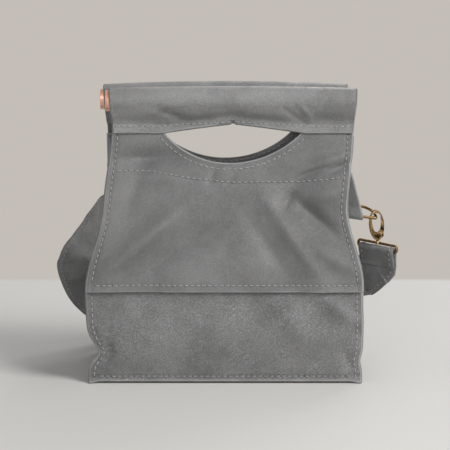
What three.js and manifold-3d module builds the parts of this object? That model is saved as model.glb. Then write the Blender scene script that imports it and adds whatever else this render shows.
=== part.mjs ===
// Leather lunch bag, cut like a paper bag: two-tone panels, side gussets that fold inwards,
// a hand hole under a copper tube on each side of the mouth, and a clip-on shoulder strap.
// Millimetres, +Z up, front towards -Y. The origin is the middle of the base's underside.
import * as THREE from "three";
import { mergeVertices } from "three/addons/utils/BufferGeometryUtils.js";
import Module from "manifold-3d";

const wasm = await Module();
wasm.setup();

// Leather and clearances
const LEATHER = 1.8;
const STRAP_LEATHER = 2.4;
const GAP = 0.3;

// Panels: heights, half widths with the seam flange, and half depths of the bag
const SEAM_HEIGHT = 79;
const SEAM_OVERLAP = 12;
const WAIST_HEIGHT = 150;
const BASE_HALF_WIDTH = 115.5;
const SEAM_HALF_WIDTH = 117.3;
const WAIST_HALF_WIDTH = 103.5;
const BASE_HALF_DEPTH = 60;
const SEAM_HALF_DEPTH = 58.3;
const MOUTH_HALF_DEPTH = 11.8;
const SEAM_FLANGE = 7;
const BASE_UPTURN = 9;

// How far each side of the mouth stands off to the right of the base
const FRONT_LEAN = 6.9;
const BACK_LEAN = 0.6;
const LEAN_START = 140;

// Heights of the neck, which hangs from the tubes: the panels' top edge is below the tubes' middle,
// and the gussets, the hand hole's tips, the sleeve's outside and the lining end below the panels' top
const TUBE_HEIGHT = 237.4;
const TUBE_TO_PANEL = 20.4;
const PANEL_TOP = TUBE_HEIGHT - TUBE_TO_PANEL;
const GUSSET_DROP = 10;
const GUSSET_TOP = PANEL_TOP - GUSSET_DROP;
const HOLE_TIP_DROP = 5.7;
const HOLE_TIP_HEIGHT = PANEL_TOP - HOLE_TIP_DROP;
const SKIRT_LAP = 7;
const SKIRT_BOTTOM = PANEL_TOP - SKIRT_LAP;
const LINING_DEPTH = 49;
const FACING_BOTTOM = PANEL_TOP - LINING_DEPTH;

// Side gussets
const GUSSET_TOP_HALF_WIDTH = 44;
const GUSSET_TUCK = 10;

// Copper tubes and the facings that sleeve them
const TUBE_OUTER_R = 9;
const TUBE_WALL = 1;
const TUBE_LENGTH = 213;
const TUBE_SHIFT = -3.2;
const TUBE_HALF_SPACING = 12.3;
const SLEEVE_HALF_LENGTH = 106.5;
const FACING_INSET = 9;

// Hand hole, a lens under each sleeve
const HOLE_HALF_WIDTH = 61;
const HOLE_DROP = 27.2;
const HOLE_RISE = 8.8;

// Ring tabs and D-rings
const TAB_WIDTH = 14.5;
const RING_WIRE_R = 1.4;
const RING_HALF_BAR = 14.3;
const RING_DEPTH = 19;
const RING_CORNER = 1.8;
const CLAW_SLACK = 1.7;
const LEFT_TAB_LENGTH = 24;
const LEFT_TAB_DROP = 3;
const LEFT_TAB_INSET = 8.45;
const LEFT_RING_OUT = 3.2;
const RIGHT_TAB_LENGTH = 40;
const RIGHT_RING_DROP = 18.8;
const RIGHT_RING_OUT = 11.3;
const RIGHT_RING_IN = 4.5;

// Snap hooks
const HOOK_HALF_WIDTH = 6.8;
const HOOK_HALF_LENGTH = 13.8;
const HOOK_DEPTH = 4.6;
const EYE_HALF_WIDTH = 4.2;
const EYE_TOP = 11.4;
const EYE_BOTTOM = -6.6;
const GATE_DEPTH = 2.2;
const GATE_TOP = 4.8;
const GATE_INNER_X = 2.4;
const RIVET_X = 2.9;
const RIVET_Z = -8.9;
const RIVET_R = 0.95;
const RIVET_HEAD_R = 1.7;
const RIVET_HEAD = 0.6;
const KNUCKLE_R = 2.9;
const CLAW_STOP_GAP = 0.5;

// Strap loops, which swivel in the hooks
const LOOP_WIRE_R = 1.3;
const LOOP_HEIGHT = 6;
const LOOP_CORNER = 2.5;
const POST_R = 1.3;
const POST_LENGTH = 4.4;
const POST_INSERT = 2.2;

// Shoulder strap
const STRAP_WIDTH = 36;
const STRAP_FOLD = 15;
const STRAP_EDGE_CLEAR = 0.4;

// Roundness of wires, arcs and tubes
const WIRE_SIDES = 8;
const ROUND_STEPS = 24;
const CORNER_STEPS = 3;
const LEAST_STEP = 0.01;
const WRAP_STEPS = 8;
const SLEEVE_STEPS = 12;
const FACING_STEPS = 4;

// A doubled strip lies flat on itself this many wrap radii past the bar
const FOLD_REACH = 4;

const smooth = (t) => THREE.MathUtils.smoothstep(t, 0, 1);
const { lerp } = THREE.MathUtils;
const vec = (x, y, z) => new THREE.Vector3(x, y, z);

// Half the panel's width at a height, and how far a side of the mouth leans to the right there.
function halfWidth(z) {
  if (z <= SEAM_HEIGHT) return lerp(BASE_HALF_WIDTH, SEAM_HALF_WIDTH, z / SEAM_HEIGHT);
  return lerp(SEAM_HALF_WIDTH, WAIST_HALF_WIDTH, smooth((z - SEAM_HEIGHT) / (WAIST_HEIGHT - SEAM_HEIGHT)));
}
const lean = (side, z) => side.lean * smooth((z - LEAN_START) / (PANEL_TOP - LEAN_START));

// Half depth of the upper panel's inner face and of the lower panel's outer face.
function upperInner(z) {
  const t = (z - SEAM_HEIGHT) / (PANEL_TOP - SEAM_HEIGHT);
  return lerp(SEAM_HALF_DEPTH + GAP, MOUTH_HALF_DEPTH, t);
}
function lowerOuter(z) {
  if (z <= SEAM_HEIGHT) return lerp(BASE_HALF_DEPTH, SEAM_HALF_DEPTH, z / SEAM_HEIGHT);
  return upperInner(z) - GAP;
}

// Half depth of the middle of a gusset's flange: inside the lower panel, then out to the upper one.
function flangeDepth(z) {
  const inLower = lowerOuter(z) - LEATHER - GAP - LEATHER / 2;
  const pastOverlap = smooth((z - SEAM_HEIGHT - SEAM_OVERLAP) / SEAM_OVERLAP);
  return inLower + pastOverlap * (LEATHER + GAP);
}

// Geometry helpers: a solid from sections that run along one face and back along the other.
function loft(sections) {
  const points = sections.flat();
  const ring = sections[0].length;
  const faces = [];
  const quad = (a, b, c, d) => faces.push(a, b, c, a, c, d);
  for (let s = 0; s + 1 < sections.length; s++)
    for (let i = 0; i < ring; i++) {
      const j = (i + 1) % ring;
      quad(s * ring + i, s * ring + j, (s + 1) * ring + j, (s + 1) * ring + i);
    }
  const last = (sections.length - 1) * ring;
  for (let i = 0; i + 1 < ring / 2; i++) {
    quad(i, ring - 1 - i, ring - 2 - i, i + 1);
    quad(last + i, last + i + 1, last + ring - 2 - i, last + ring - 1 - i);
  }
  return facingOut(points, faces);
}

// A mesh of points and triangles, turned so that its faces point out.
function facingOut(points, faces) {
  let volume = 0;
  for (let i = 0; i < faces.length; i += 3) {
    const [a, b, c] = [points[faces[i]], points[faces[i + 1]], points[faces[i + 2]]];
    volume += a.dot(b.clone().cross(c));
  }
  if (volume < 0) faces.reverse();
  return new THREE.BufferGeometry().setFromPoints(points).setIndex(faces);
}

// A strip of leather along points, each with its half width as a vector.
function strip(points, halfWidths, thickness) {
  const sections = points.map((p, i) => {
    const before = points[Math.max(i - 1, 0)];
    const after = points[Math.min(i + 1, points.length - 1)];
    const along = after.clone().sub(before).normalize();
    const half = halfWidths[i];
    const rise = along.cross(half).setLength(thickness / 2);
    const corner = (w, t) => p.clone().addScaledVector(half, w).addScaledVector(rise, t);
    return [corner(-1, 1), corner(1, 1), corner(1, -1), corner(-1, -1)];
  });
  return loft(sections);
}

// A closed wire round a flat outline of [x, z] points in the XZ plane.
function wireRing(outline, radius) {
  const count = outline.length;
  const points = [];
  const faces = [];
  for (let i = 0; i < count; i++) {
    const [before, here, after] = [outline[(i + count - 1) % count], outline[i], outline[(i + 1) % count]];
    const along = after.clone().sub(before).normalize();
    for (let k = 0; k < WIRE_SIDES; k++) {
      const turn = (2 * Math.PI * k) / WIRE_SIDES;
      const out = radius * Math.cos(turn);
      points.push(vec(here.x + along.y * out, radius * Math.sin(turn), here.y - along.x * out));
      const [j, m] = [(i + 1) % count, (k + 1) % WIRE_SIDES];
      const [a, b, c, d] = [i * WIRE_SIDES + k, i * WIRE_SIDES + m, j * WIRE_SIDES + m, j * WIRE_SIDES + k];
      faces.push(a, b, c, a, c, d);
    }
  }
  return facingOut(points, faces);
}

// Solids that manifold-3d joins and cuts.
function solid(geometry) {
  const bare = geometry.clone();
  bare.deleteAttribute("normal");
  bare.deleteAttribute("uv");
  const merged = mergeVertices(bare, 1e-4);
  const triVerts = new Uint32Array(merged.index.array);
  return new wasm.Manifold(
    new wasm.Mesh({ numProp: 3, vertProperties: merged.attributes.position.array, triVerts }),
  );
}
function geometryOf(manifold) {
  const { vertProperties, triVerts } = manifold.getMesh();
  const geometry = new THREE.BufferGeometry();
  geometry.setAttribute("position", new THREE.BufferAttribute(vertProperties, 3));
  return geometry.setIndex(new THREE.BufferAttribute(triVerts, 1));
}

// A shape drawn in X and Z, as deep in Y as given and centred on Y = 0.
function plate(shape, depth) {
  const geometry = new THREE.ExtrudeGeometry(shape, { depth, bevelEnabled: false, curveSegments: ROUND_STEPS / 2 });
  return geometry.translate(0, 0, -depth / 2).rotateX(Math.PI / 2);
}
function disc(x, z, radius, depth) {
  return new THREE.CylinderGeometry(radius, radius, depth, ROUND_STEPS).translate(x, 0, z);
}

// Finishes
const finish = (color, roughness, metalness = 0) => new THREE.MeshStandardMaterial({ color, roughness, metalness });
const smoothLeather = finish(0x7d7e80, 0.5);
const roughLeather = finish(0x828384, 0.8);
const darkLeather = finish(0x5c5d5f, 0.55);
const copper = finish(0xf0b49b, 0.3, 1);
const antiqueBrass = finish(0xaf8c5f, 0.4, 1);

const bag = new THREE.Group();
function add(name, geometry, material, parent = bag) {
  const mesh = new THREE.Mesh(geometry, material);
  mesh.name = name;
  parent.add(mesh);
  return mesh;
}

const range = (from, to, steps) => Array.from({ length: steps + 1 }, (_, i) => lerp(from, to, i / steps));

// A panel between two heights, its outer face at a half depth.
function panel(side, heights, outerDepth) {
  return loft(
    heights.map((z) => {
      const [left, right] = [lean(side, z) - halfWidth(z), lean(side, z) + halfWidth(z)];
      const [outer, inner] = [side.y * outerDepth(z), side.y * (outerDepth(z) - LEATHER)];
      return [vec(left, outer, z), vec(right, outer, z), vec(right, inner, z), vec(left, inner, z)];
    }),
  );
}

// The hand hole's cutter: a lens that reaches through every layer of one side.
function handHole(side) {
  const shape = new THREE.Shape();
  shape.moveTo(-HOLE_HALF_WIDTH, 0);
  const arc = (rise, from, to, steps) =>
    range(from, to, steps).forEach((x) => shape.lineTo(x, arcHeight(x, rise)));
  arc(-HOLE_DROP, -HOLE_HALF_WIDTH, HOLE_HALF_WIDTH, ROUND_STEPS);
  arc(HOLE_RISE, HOLE_HALF_WIDTH, -HOLE_HALF_WIDTH, ROUND_STEPS / 2);
  const middle = lean(side, HOLE_TIP_HEIGHT);
  return plate(shape, BASE_HALF_DEPTH).translate(middle, side.y * (BASE_HALF_DEPTH / 2 + GAP), HOLE_TIP_HEIGHT);
}

// Height of a circle's arc over its chord, the hole's width, where its middle rises by a given amount.
function arcHeight(x, rise) {
  const radius = (HOLE_HALF_WIDTH ** 2 + rise ** 2) / (2 * Math.abs(rise));
  const height = Math.sqrt(radius ** 2 - x ** 2) - (radius - Math.abs(rise));
  return Math.sign(rise) * Math.max(height, 0);
}

// The facing: up inside the panel, over the tube and down the outside to the sleeve's skirt.
function facing(side) {
  const wrapR = TUBE_OUTER_R + GAP + LEATHER / 2;
  const points = [];
  const halves = [];
  const place = (depth, z, half) => {
    const middle = lean(side, Math.min(z, PANEL_TOP));
    points.push(vec(middle, side.y * depth, z));
    halves.push(vec(half, 0, 0));
  };
  const inside = (z) => upperInner(z) - GAP - LEATHER / 2;
  const outside = (z) => upperInner(z) + LEATHER + GAP + LEATHER / 2;
  const narrow = (z) => halfWidth(z) - SEAM_FLANGE - FACING_INSET;
  const wide = halfWidth(PANEL_TOP);
  const gussetClear = GUSSET_TOP + LEATHER / 2;
  const aboveGusset = gussetClear + LEATHER;
  range(FACING_BOTTOM, gussetClear, FACING_STEPS).forEach((z) => place(inside(z), z, narrow(z)));
  place(inside(aboveGusset), aboveGusset, wide);
  place(inside(PANEL_TOP), PANEL_TOP, wide);
  const drop = TUBE_HEIGHT - PANEL_TOP;
  const innerTurn = tangentTurn(TUBE_HALF_SPACING - inside(PANEL_TOP), drop, wrapR);
  const outerTurn = Math.PI - tangentTurn(outside(PANEL_TOP) - TUBE_HALF_SPACING, drop, wrapR);
  range(innerTurn, outerTurn, SLEEVE_STEPS).forEach((turn) => {
    const depth = TUBE_HALF_SPACING - wrapR * Math.cos(turn);
    place(depth, TUBE_HEIGHT + wrapR * Math.sin(turn), SLEEVE_HALF_LENGTH);
  });
  place(outside(PANEL_TOP), PANEL_TOP, wide);
  place(outside(SKIRT_BOTTOM), SKIRT_BOTTOM, wide);
  return geometryOf(solid(strip(points, halves, LEATHER)).subtract(solid(handHole(side))));
}

// Where a straight run from a point below meets a circle, as an angle up from level.
function tangentTurn(across, below, radius) {
  const reach = Math.hypot(across, below);
  return Math.acos(radius / reach) - Math.atan2(below, across);
}

// A copper tube, open at both ends.
function tube() {
  const bore = TUBE_OUTER_R - TUBE_WALL;
  const profile = [
    [bore, -TUBE_LENGTH / 2],
    [TUBE_OUTER_R, -TUBE_LENGTH / 2],
    [TUBE_OUTER_R, TUBE_LENGTH / 2],
    [bore, TUBE_LENGTH / 2],
    [bore, -TUBE_LENGTH / 2],
  ].map(([r, along]) => new THREE.Vector2(r, along));
  return new THREE.LatheGeometry(profile, ROUND_STEPS).rotateZ(-Math.PI / 2);
}

// A gusset's section at a height: front flange, the wall folded in along its middle, back flange.
function gussetSection(hand, z) {
  const depth = flangeDepth(z);
  const flat = lerp(flangeDepth(SEAM_HEIGHT), GUSSET_TOP_HALF_WIDTH, (z - SEAM_HEIGHT) / (GUSSET_TOP - SEAM_HEIGHT));
  const tuck = z <= SEAM_HEIGHT ? 0 : Math.sqrt(Math.max(flat ** 2 - depth ** 2, 0));
  const edge = (side, inset) => lean(side, z) + hand * (halfWidth(z) - inset);
  const foldX = (edge(front, SEAM_FLANGE) + edge(back, SEAM_FLANGE)) / 2 - hand * tuck;
  const middle = [
    [edge(front, GAP), -depth],
    [edge(front, SEAM_FLANGE), -depth],
    [foldX, 0],
    [edge(back, SEAM_FLANGE), depth],
    [edge(back, GAP), depth],
  ].map(([x, y]) => new THREE.Vector2(x, y));
  const faceAt = (offset) => offsetLine(middle, offset).map((p) => vec(p.x, p.y, z));
  return [...faceAt(LEATHER / 2), ...faceAt(-LEATHER / 2).reverse()];
}

// A line of points moved sideways, with mitred corners.
function offsetLine(line, offset) {
  return line.map((p, i) => {
    const into = p.clone().sub(line[Math.max(i - 1, 0)]);
    const outOf = line[Math.min(i + 1, line.length - 1)].clone().sub(p);
    const a = (i === 0 ? outOf : into).clone().normalize();
    const b = (i === line.length - 1 ? into : outOf).clone().normalize();
    const normal = new THREE.Vector2(-a.y - b.y, a.x + b.x).normalize();
    return p.clone().addScaledVector(normal, offset / (normal.x * -a.y + normal.y * a.x));
  });
}

// Base: a tray with its long edges turned up inside the front and back panels.
function basePanel() {
  const half = halfWidth(0) - SEAM_FLANGE - LEATHER / 2 - GAP;
  const outerY = lowerOuter(BASE_UPTURN) - LEATHER - GAP;
  const innerY = outerY - LEATHER;
  const section = (x) =>
    [
      [-outerY, BASE_UPTURN],
      [-outerY, 0],
      [outerY, 0],
      [outerY, BASE_UPTURN],
      [innerY, BASE_UPTURN],
      [innerY, LEATHER],
      [-innerY, LEATHER],
      [-innerY, BASE_UPTURN],
    ].map(([y, z]) => vec(x, y, z));
  return loft([section(-half), section(half)]);
}

// A ring tab: a strip doubled round a D-ring's bar. Its bar is at the origin along X, and it rises to +Z.
function ringTab({ length, slant, taper }) {
  const wrapR = RING_WIRE_R + GAP + LEATHER / 2;
  const pressed = (LEATHER + GAP) / 2;
  const rows = [
    [-pressed, length],
    [-pressed, FOLD_REACH * wrapR],
    ...range(Math.PI, 2 * Math.PI, WRAP_STEPS).map((turn) => [wrapR * Math.cos(turn), wrapR * Math.sin(turn)]),
    [pressed, FOLD_REACH * wrapR],
    [pressed, length],
  ];
  const points = rows.map(([y, z]) => vec(slant * Math.max(z, 0), y, z));
  return strip(points, points.map((p) => vec(TAB_WIDTH / 2 - taper * Math.max(p.z, 0), 0, 0)), LEATHER);
}

// A D-ring in the XZ plane: its bar at the origin along X, its bow towards +Z.
function dRing() {
  const path = new THREE.Path();
  const straight = RING_HALF_BAR - RING_CORNER;
  path.moveTo(-straight, 0);
  path.lineTo(straight, 0);
  path.absarc(straight, RING_CORNER, RING_CORNER, -Math.PI / 2, 0, false);
  for (const turn of range(0, Math.PI, ROUND_STEPS / 2))
    path.lineTo(RING_HALF_BAR * Math.cos(turn), RING_CORNER + (RING_DEPTH - RING_CORNER) * Math.sin(turn));
  path.absarc(-straight, RING_CORNER, RING_CORNER, Math.PI, 1.5 * Math.PI, false);
  return wireRing(withoutRepeats(path.getPoints(CORNER_STEPS)), RING_WIRE_R);
}
function withoutRepeats(points) {
  const apart = (p, q) => p.distanceTo(q) > LEAST_STEP;
  return points.filter((p, i) => apart(p, points[(i + points.length - 1) % points.length]));
}

// The hook's flat outline: an oval with an eye in it, drawn round the middle of the hook.
function hookOutline() {
  const shape = new THREE.Shape();
  shape.absellipse(0, 0, HOOK_HALF_WIDTH, HOOK_HALF_LENGTH, 0, 2 * Math.PI, false, 0);
  const eye = new THREE.Path();
  const crown = EYE_TOP - EYE_HALF_WIDTH;
  eye.moveTo(EYE_HALF_WIDTH, crown);
  eye.absarc(0, crown, EYE_HALF_WIDTH, 0, Math.PI, false);
  eye.quadraticCurveTo(-EYE_HALF_WIDTH, EYE_BOTTOM, 0, EYE_BOTTOM);
  eye.quadraticCurveTo(EYE_HALF_WIDTH, EYE_BOTTOM, EYE_HALF_WIDTH, crown);
  shape.holes.push(eye);
  return shape;
}
function gateZone(innerX, top, depth) {
  const width = 2 * HOOK_HALF_WIDTH;
  const box = new THREE.BoxGeometry(width, depth, top - RIVET_Z);
  return box.translate(innerX + width / 2, 0, (top + RIVET_Z) / 2);
}
function hookBody() {
  const slotDepth = GATE_DEPTH + 2 * GAP;
  const slotR = KNUCKLE_R + LEATHER;
  const postBore = new THREE.CylinderGeometry(POST_R + GAP, POST_R + GAP, 2 * POST_INSERT, ROUND_STEPS)
    .rotateX(Math.PI / 2)
    .translate(0, 0, -HOOK_HALF_LENGTH);
  const body = solid(plate(hookOutline(), HOOK_DEPTH))
    .subtract(solid(gateZone(GATE_INNER_X - GAP, GATE_TOP + CLAW_STOP_GAP, 2 * HOOK_DEPTH)))
    .add(solid(disc(RIVET_X, RIVET_Z, KNUCKLE_R, HOOK_DEPTH)))
    .subtract(solid(disc(RIVET_X, RIVET_Z, slotR, slotDepth)))
    .subtract(solid(disc(RIVET_X, RIVET_Z, RIVET_R + GAP, 2 * HOOK_DEPTH)))
    .subtract(solid(postBore));
  return geometryOf(body);
}
function hookGate() {
  const gate = solid(plate(hookOutline(), GATE_DEPTH))
    .intersect(solid(gateZone(GATE_INNER_X, GATE_TOP, 2 * HOOK_DEPTH)))
    .add(solid(disc(RIVET_X, RIVET_Z, KNUCKLE_R, GATE_DEPTH)))
    .subtract(solid(disc(RIVET_X, RIVET_Z, RIVET_R + GAP, 2 * HOOK_DEPTH)));
  return geometryOf(gate);
}
function hookRivet() {
  const seat = HOOK_DEPTH / 2 + GAP;
  const end = seat + RIVET_HEAD;
  const profile = [
    [0, -end],
    [RIVET_HEAD_R, -end],
    [RIVET_HEAD_R, -seat],
    [RIVET_R, -seat],
    [RIVET_R, seat],
    [RIVET_HEAD_R, seat],
    [RIVET_HEAD_R, end],
    [0, end],
  ].map(([r, along]) => new THREE.Vector2(r, along));
  return new THREE.LatheGeometry(profile, ROUND_STEPS / 2).translate(RIVET_X, 0, RIVET_Z);
}

// A strap loop: its bar at the origin along X, its bow rising to the swivel post.
const loopHalf = STRAP_WIDTH / 2 + STRAP_EDGE_CLEAR + LOOP_CORNER;
function strapLoop(tilt) {
  const path = new THREE.Path();
  const inner = loopHalf - LOOP_CORNER;
  path.moveTo(-inner, 0);
  path.lineTo(inner, 0);
  path.absarc(inner, LOOP_CORNER, LOOP_CORNER, -Math.PI / 2, 0, false);
  path.absarc(inner, LOOP_HEIGHT - LOOP_CORNER, LOOP_CORNER, 0, Math.PI / 2, false);
  path.lineTo(0, LOOP_HEIGHT);
  path.absarc(-inner, LOOP_HEIGHT - LOOP_CORNER, LOOP_CORNER, Math.PI / 2, Math.PI, false);
  path.absarc(-inner, LOOP_CORNER, LOOP_CORNER, Math.PI, 1.5 * Math.PI, false);
  const bow = wireRing(withoutRepeats(path.getPoints(CORNER_STEPS)), LOOP_WIRE_R);
  const post = new THREE.CylinderGeometry(POST_R, POST_R, POST_LENGTH, ROUND_STEPS / 2)
    .rotateX(Math.PI / 2)
    .translate(0, 0, POST_LENGTH / 2)
    .rotateY(tilt)
    .translate(0, 0, LOOP_HEIGHT);
  return geometryOf(solid(bow).add(solid(post)));
}

// The two sides of the mouth
const front = { name: "front", y: -1, lean: FRONT_LEAN };
const back = { name: "back", y: 1, lean: BACK_LEAN };
const UPPER_STEPS = 12;
add("base_panel", basePanel(), roughLeather);
for (const side of [front, back]) {
  const overlapTop = SEAM_HEIGHT + SEAM_OVERLAP;
  add(`${side.name}_lower_panel`, panel(side, [...range(0, SEAM_HEIGHT, 3), overlapTop], lowerOuter), roughLeather);
  const upperOuter = (z) => upperInner(z) + LEATHER;
  const upper = panel(side, range(SEAM_HEIGHT, PANEL_TOP, UPPER_STEPS), upperOuter);
  add(`${side.name}_upper_panel`, geometryOf(solid(upper).subtract(solid(handHole(side)))), smoothLeather);
  add(`${side.name}_facing`, facing(side), smoothLeather);
  const middle = lean(side, PANEL_TOP) + TUBE_SHIFT;
  add(`${side.name}_tube`, tube(), copper).position.set(middle, side.y * TUBE_HALF_SPACING, TUBE_HEIGHT);
}

// The two sides of the bag
const hands = [
  { name: "left", x: -1 },
  { name: "right", x: 1 },
];
for (const hand of hands) {
  const lowerLevels = range(0, SEAM_HEIGHT, 2);
  const upperLevels = [SEAM_HEIGHT + GAP, ...range(SEAM_HEIGHT + GUSSET_TUCK / 4, GUSSET_TOP, UPPER_STEPS)];
  const levels = (heights) => loft(heights.map((z) => gussetSection(hand.x, z)));
  add(`${hand.name}_lower_gusset`, levels(lowerLevels), roughLeather);
  add(`${hand.name}_upper_gusset`, levels(upperLevels), smoothLeather);
}

// Tab, D-ring, hook and strap loop on each side. The right tab is turned outwards over the seam,
// and the left one is turned into the gusset's fold.
const leftTabTop = GUSSET_TOP - LEFT_TAB_DROP;
const leftRing = leftTabTop - LEFT_TAB_LENGTH;
const rightRing = WAIST_HEIGHT - RIGHT_RING_DROP;
const hardware = [
  {
    name: "left",
    tab: { length: LEFT_TAB_LENGTH, slant: 0, taper: 0 },
    at: vec(SEAM_FLANGE - halfWidth(leftRing) - LEFT_RING_OUT, flangeDepth(leftTabTop) - LEFT_TAB_INSET, leftRing),
    turn: -90,
    roll: 0,
    tabLean: 0,
    ringTilt: 22,
    hookLean: 0,
    loopTurn: 168,
    loopTilt: -34,
  },
  {
    name: "right",
    tab: { length: RIGHT_TAB_LENGTH, slant: -0.36, taper: 0.06 },
    at: vec(halfWidth(rightRing) + RIGHT_RING_OUT, upperInner(rightRing) - RIGHT_RING_IN, rightRing),
    turn: 0,
    roll: 8,
    tabLean: 18.6,
    ringTilt: 22,
    hookLean: -4,
    loopTurn: -40,
    loopTilt: 7,
  },
];
const rad = THREE.MathUtils.degToRad;
const ringSlack = RING_HALF_BAR - RING_CORNER - TAB_WIDTH / 2 - GAP;
const loops = {};
for (const set of hardware) {
  const holder = new THREE.Group();
  holder.position.copy(set.at);
  holder.rotation.set(0, rad(set.roll), rad(set.turn), "ZYX");
  bag.add(holder);

  add(`${set.name}_tab`, ringTab(set.tab), smoothLeather, holder).rotation.x = rad(set.tabLean);
  const ring = add(`${set.name}_ring`, dRing(), antiqueBrass, holder);
  ring.position.x = ringSlack;
  ring.rotation.x = rad(set.ringTilt - 90);

  const claw = new THREE.Group();
  const wireY = RING_WIRE_R + GAP + HOOK_DEPTH / 2;
  claw.position.set(ringSlack + RING_HALF_BAR + GAP, wireY, wireY * Math.tan(rad(set.ringTilt)));
  claw.rotation.y = rad(set.hookLean - set.roll);
  holder.add(claw);
  const hook = new THREE.Group();
  hook.position.z = RING_WIRE_R + CLAW_SLACK - EYE_TOP;
  claw.add(hook);
  add(`${set.name}_hook_body`, hookBody(), antiqueBrass, hook);
  add(`${set.name}_hook_gate`, hookGate(), antiqueBrass, hook);
  add(`${set.name}_hook_rivet`, hookRivet(), antiqueBrass, hook);

  const loop = new THREE.Group();
  loop.position.z = POST_INSERT - GAP - POST_LENGTH - HOOK_HALF_LENGTH;
  loop.rotation.set(0, rad(set.loopTilt), rad(set.loopTurn), "ZYX");
  hook.add(loop);
  const bow = add(`${set.name}_strap_loop`, strapLoop(rad(-set.loopTilt)), antiqueBrass, loop);
  bow.position.z = -LOOP_HEIGHT;
  loops[set.name] = bow;
}

// The strap's route behind the bag, standing on its edge on the floor: points and width directions.
const STRAP_FLOOR = STRAP_WIDTH / 2 + 2 * GAP;
const strapRoute = [
  [-108.3, 9.4, 134.4, -0.22, 0.64, 0.73],
  [-114.8, 18.7, 118.9, -0.58, 0.57, 0.58],
  [-124.3, 32.4, 100.8, -0.85, 0.48, 0.22],
  [-135, 50.8, 87.2, -0.79, 0.4, -0.46],
  [-134.6, 69.4, 70.6, -0.68, 0.2, -0.7],
  [-127.7, 86, 51.5, -0.46, 0, -0.89],
  [-98, 119, STRAP_FLOOR + 4, -0.05, 0, -1],
  [-80, 124, STRAP_FLOOR + 0.8, 0, 0, -1],
  [-60, 128, STRAP_FLOOR, 0, 0, -1],
  [0, 130, STRAP_FLOOR, 0, 0, -1],
  [62, 130, STRAP_FLOOR, 0, 0, -1],
  [78, 126, STRAP_FLOOR, 0, 0, -1],
  [84, 117, STRAP_FLOOR, 0, 0, -1],
  [78, 108, STRAP_FLOOR, 0, 0, -1],
  [62, 104, STRAP_FLOOR, 0, 0, -1],
  [0, 105, STRAP_FLOOR, 0, 0, -1],
  [-54, 104, STRAP_FLOOR, 0, 0, -1],
  [-70, 100, STRAP_FLOOR, 0, 0, -1],
  [-76, 91, STRAP_FLOOR, 0, 0, -1],
  [-70, 82, STRAP_FLOOR, 0, 0, -1],
  [-54, 78, STRAP_FLOOR, 0, 0, -1],
  [-10, 78, STRAP_FLOOR + 3, 0, 0, -1],
  [40, 80, 38, 0.05, 0, -1],
  [85, 80, 60, 0.15, -0.02, -1],
  [123.7, 67.8, 69.7, 0.3, -0.1, -0.95],
  [127.8, 58.1, 71.3, 0.6, -0.45, -0.66],
];
const STRAP_STEPS = 3;

// The strap's end, doubled round a loop's bar: points from the sewn tail to where the strap leaves it.
function strapEnd(bar, across, along) {
  const side = across.clone().cross(along).normalize();
  const wrapR = LOOP_WIRE_R + GAP + STRAP_LEATHER / 2;
  const pressed = (STRAP_LEATHER + GAP) / 2;
  const at = (n, d) => bar.clone().addScaledVector(side, n).addScaledVector(along, d);
  return [
    at(pressed, STRAP_FOLD),
    at(pressed, FOLD_REACH * wrapR),
    ...range(0, Math.PI, WRAP_STEPS).map((turn) => at(wrapR * Math.cos(turn), -wrapR * Math.sin(turn))),
    at(-pressed, FOLD_REACH * wrapR),
    at(-pressed, STRAP_FOLD),
  ];
}
function strap() {
  bag.updateMatrixWorld(true);
  const ends = [
    { bow: loops.left, towards: vec(...strapRoute[0]) },
    { bow: loops.right, towards: vec(...strapRoute.at(-1)) },
  ].map(({ bow, towards }) => {
    const bar = bow.getWorldPosition(vec(0, 0, 0));
    const across = vec(1, 0, 0).transformDirection(bow.matrixWorld);
    const along = towards.clone().sub(bar);
    along.addScaledVector(across, -along.dot(across)).normalize();
    return { across, points: strapEnd(bar, across, along) };
  });
  const [first, last] = ends;
  last.points.reverse();
  const route = strapRoute.map((row) => vec(...row));
  const bends = new THREE.CatmullRomCurve3([first.points.at(-1), ...route, last.points[0]], false, "centripetal");
  const turns = [first.across, ...strapRoute.map((row) => vec(...row.slice(3))), last.across];
  const stretches = route.length + 1;
  const points = [...first.points];
  const widths = first.points.map(() => first.across.clone());
  for (let i = 1; i < stretches * STRAP_STEPS; i++) {
    const t = i / STRAP_STEPS;
    const along = bends.getTangent(t / stretches);
    const width = turns[Math.floor(t)].clone().lerp(turns[Math.floor(t) + 1], t - Math.floor(t));
    points.push(bends.getPoint(t / stretches));
    widths.push(width.addScaledVector(along, -along.dot(width)));
  }
  points.push(...last.points);
  widths.push(...last.points.map(() => last.across.clone()));
  return strip(points, widths.map((w) => w.setLength(STRAP_WIDTH / 2)), STRAP_LEATHER);
}
add("strap", strap(), darkLeather);

export default bag;
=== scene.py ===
# Looks of the leather lunch bag: panels, gussets, sleeves, strap, stitching and metal finishes.
import math

import bpy
import numpy as np
from mathutils import Matrix, Vector


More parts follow.
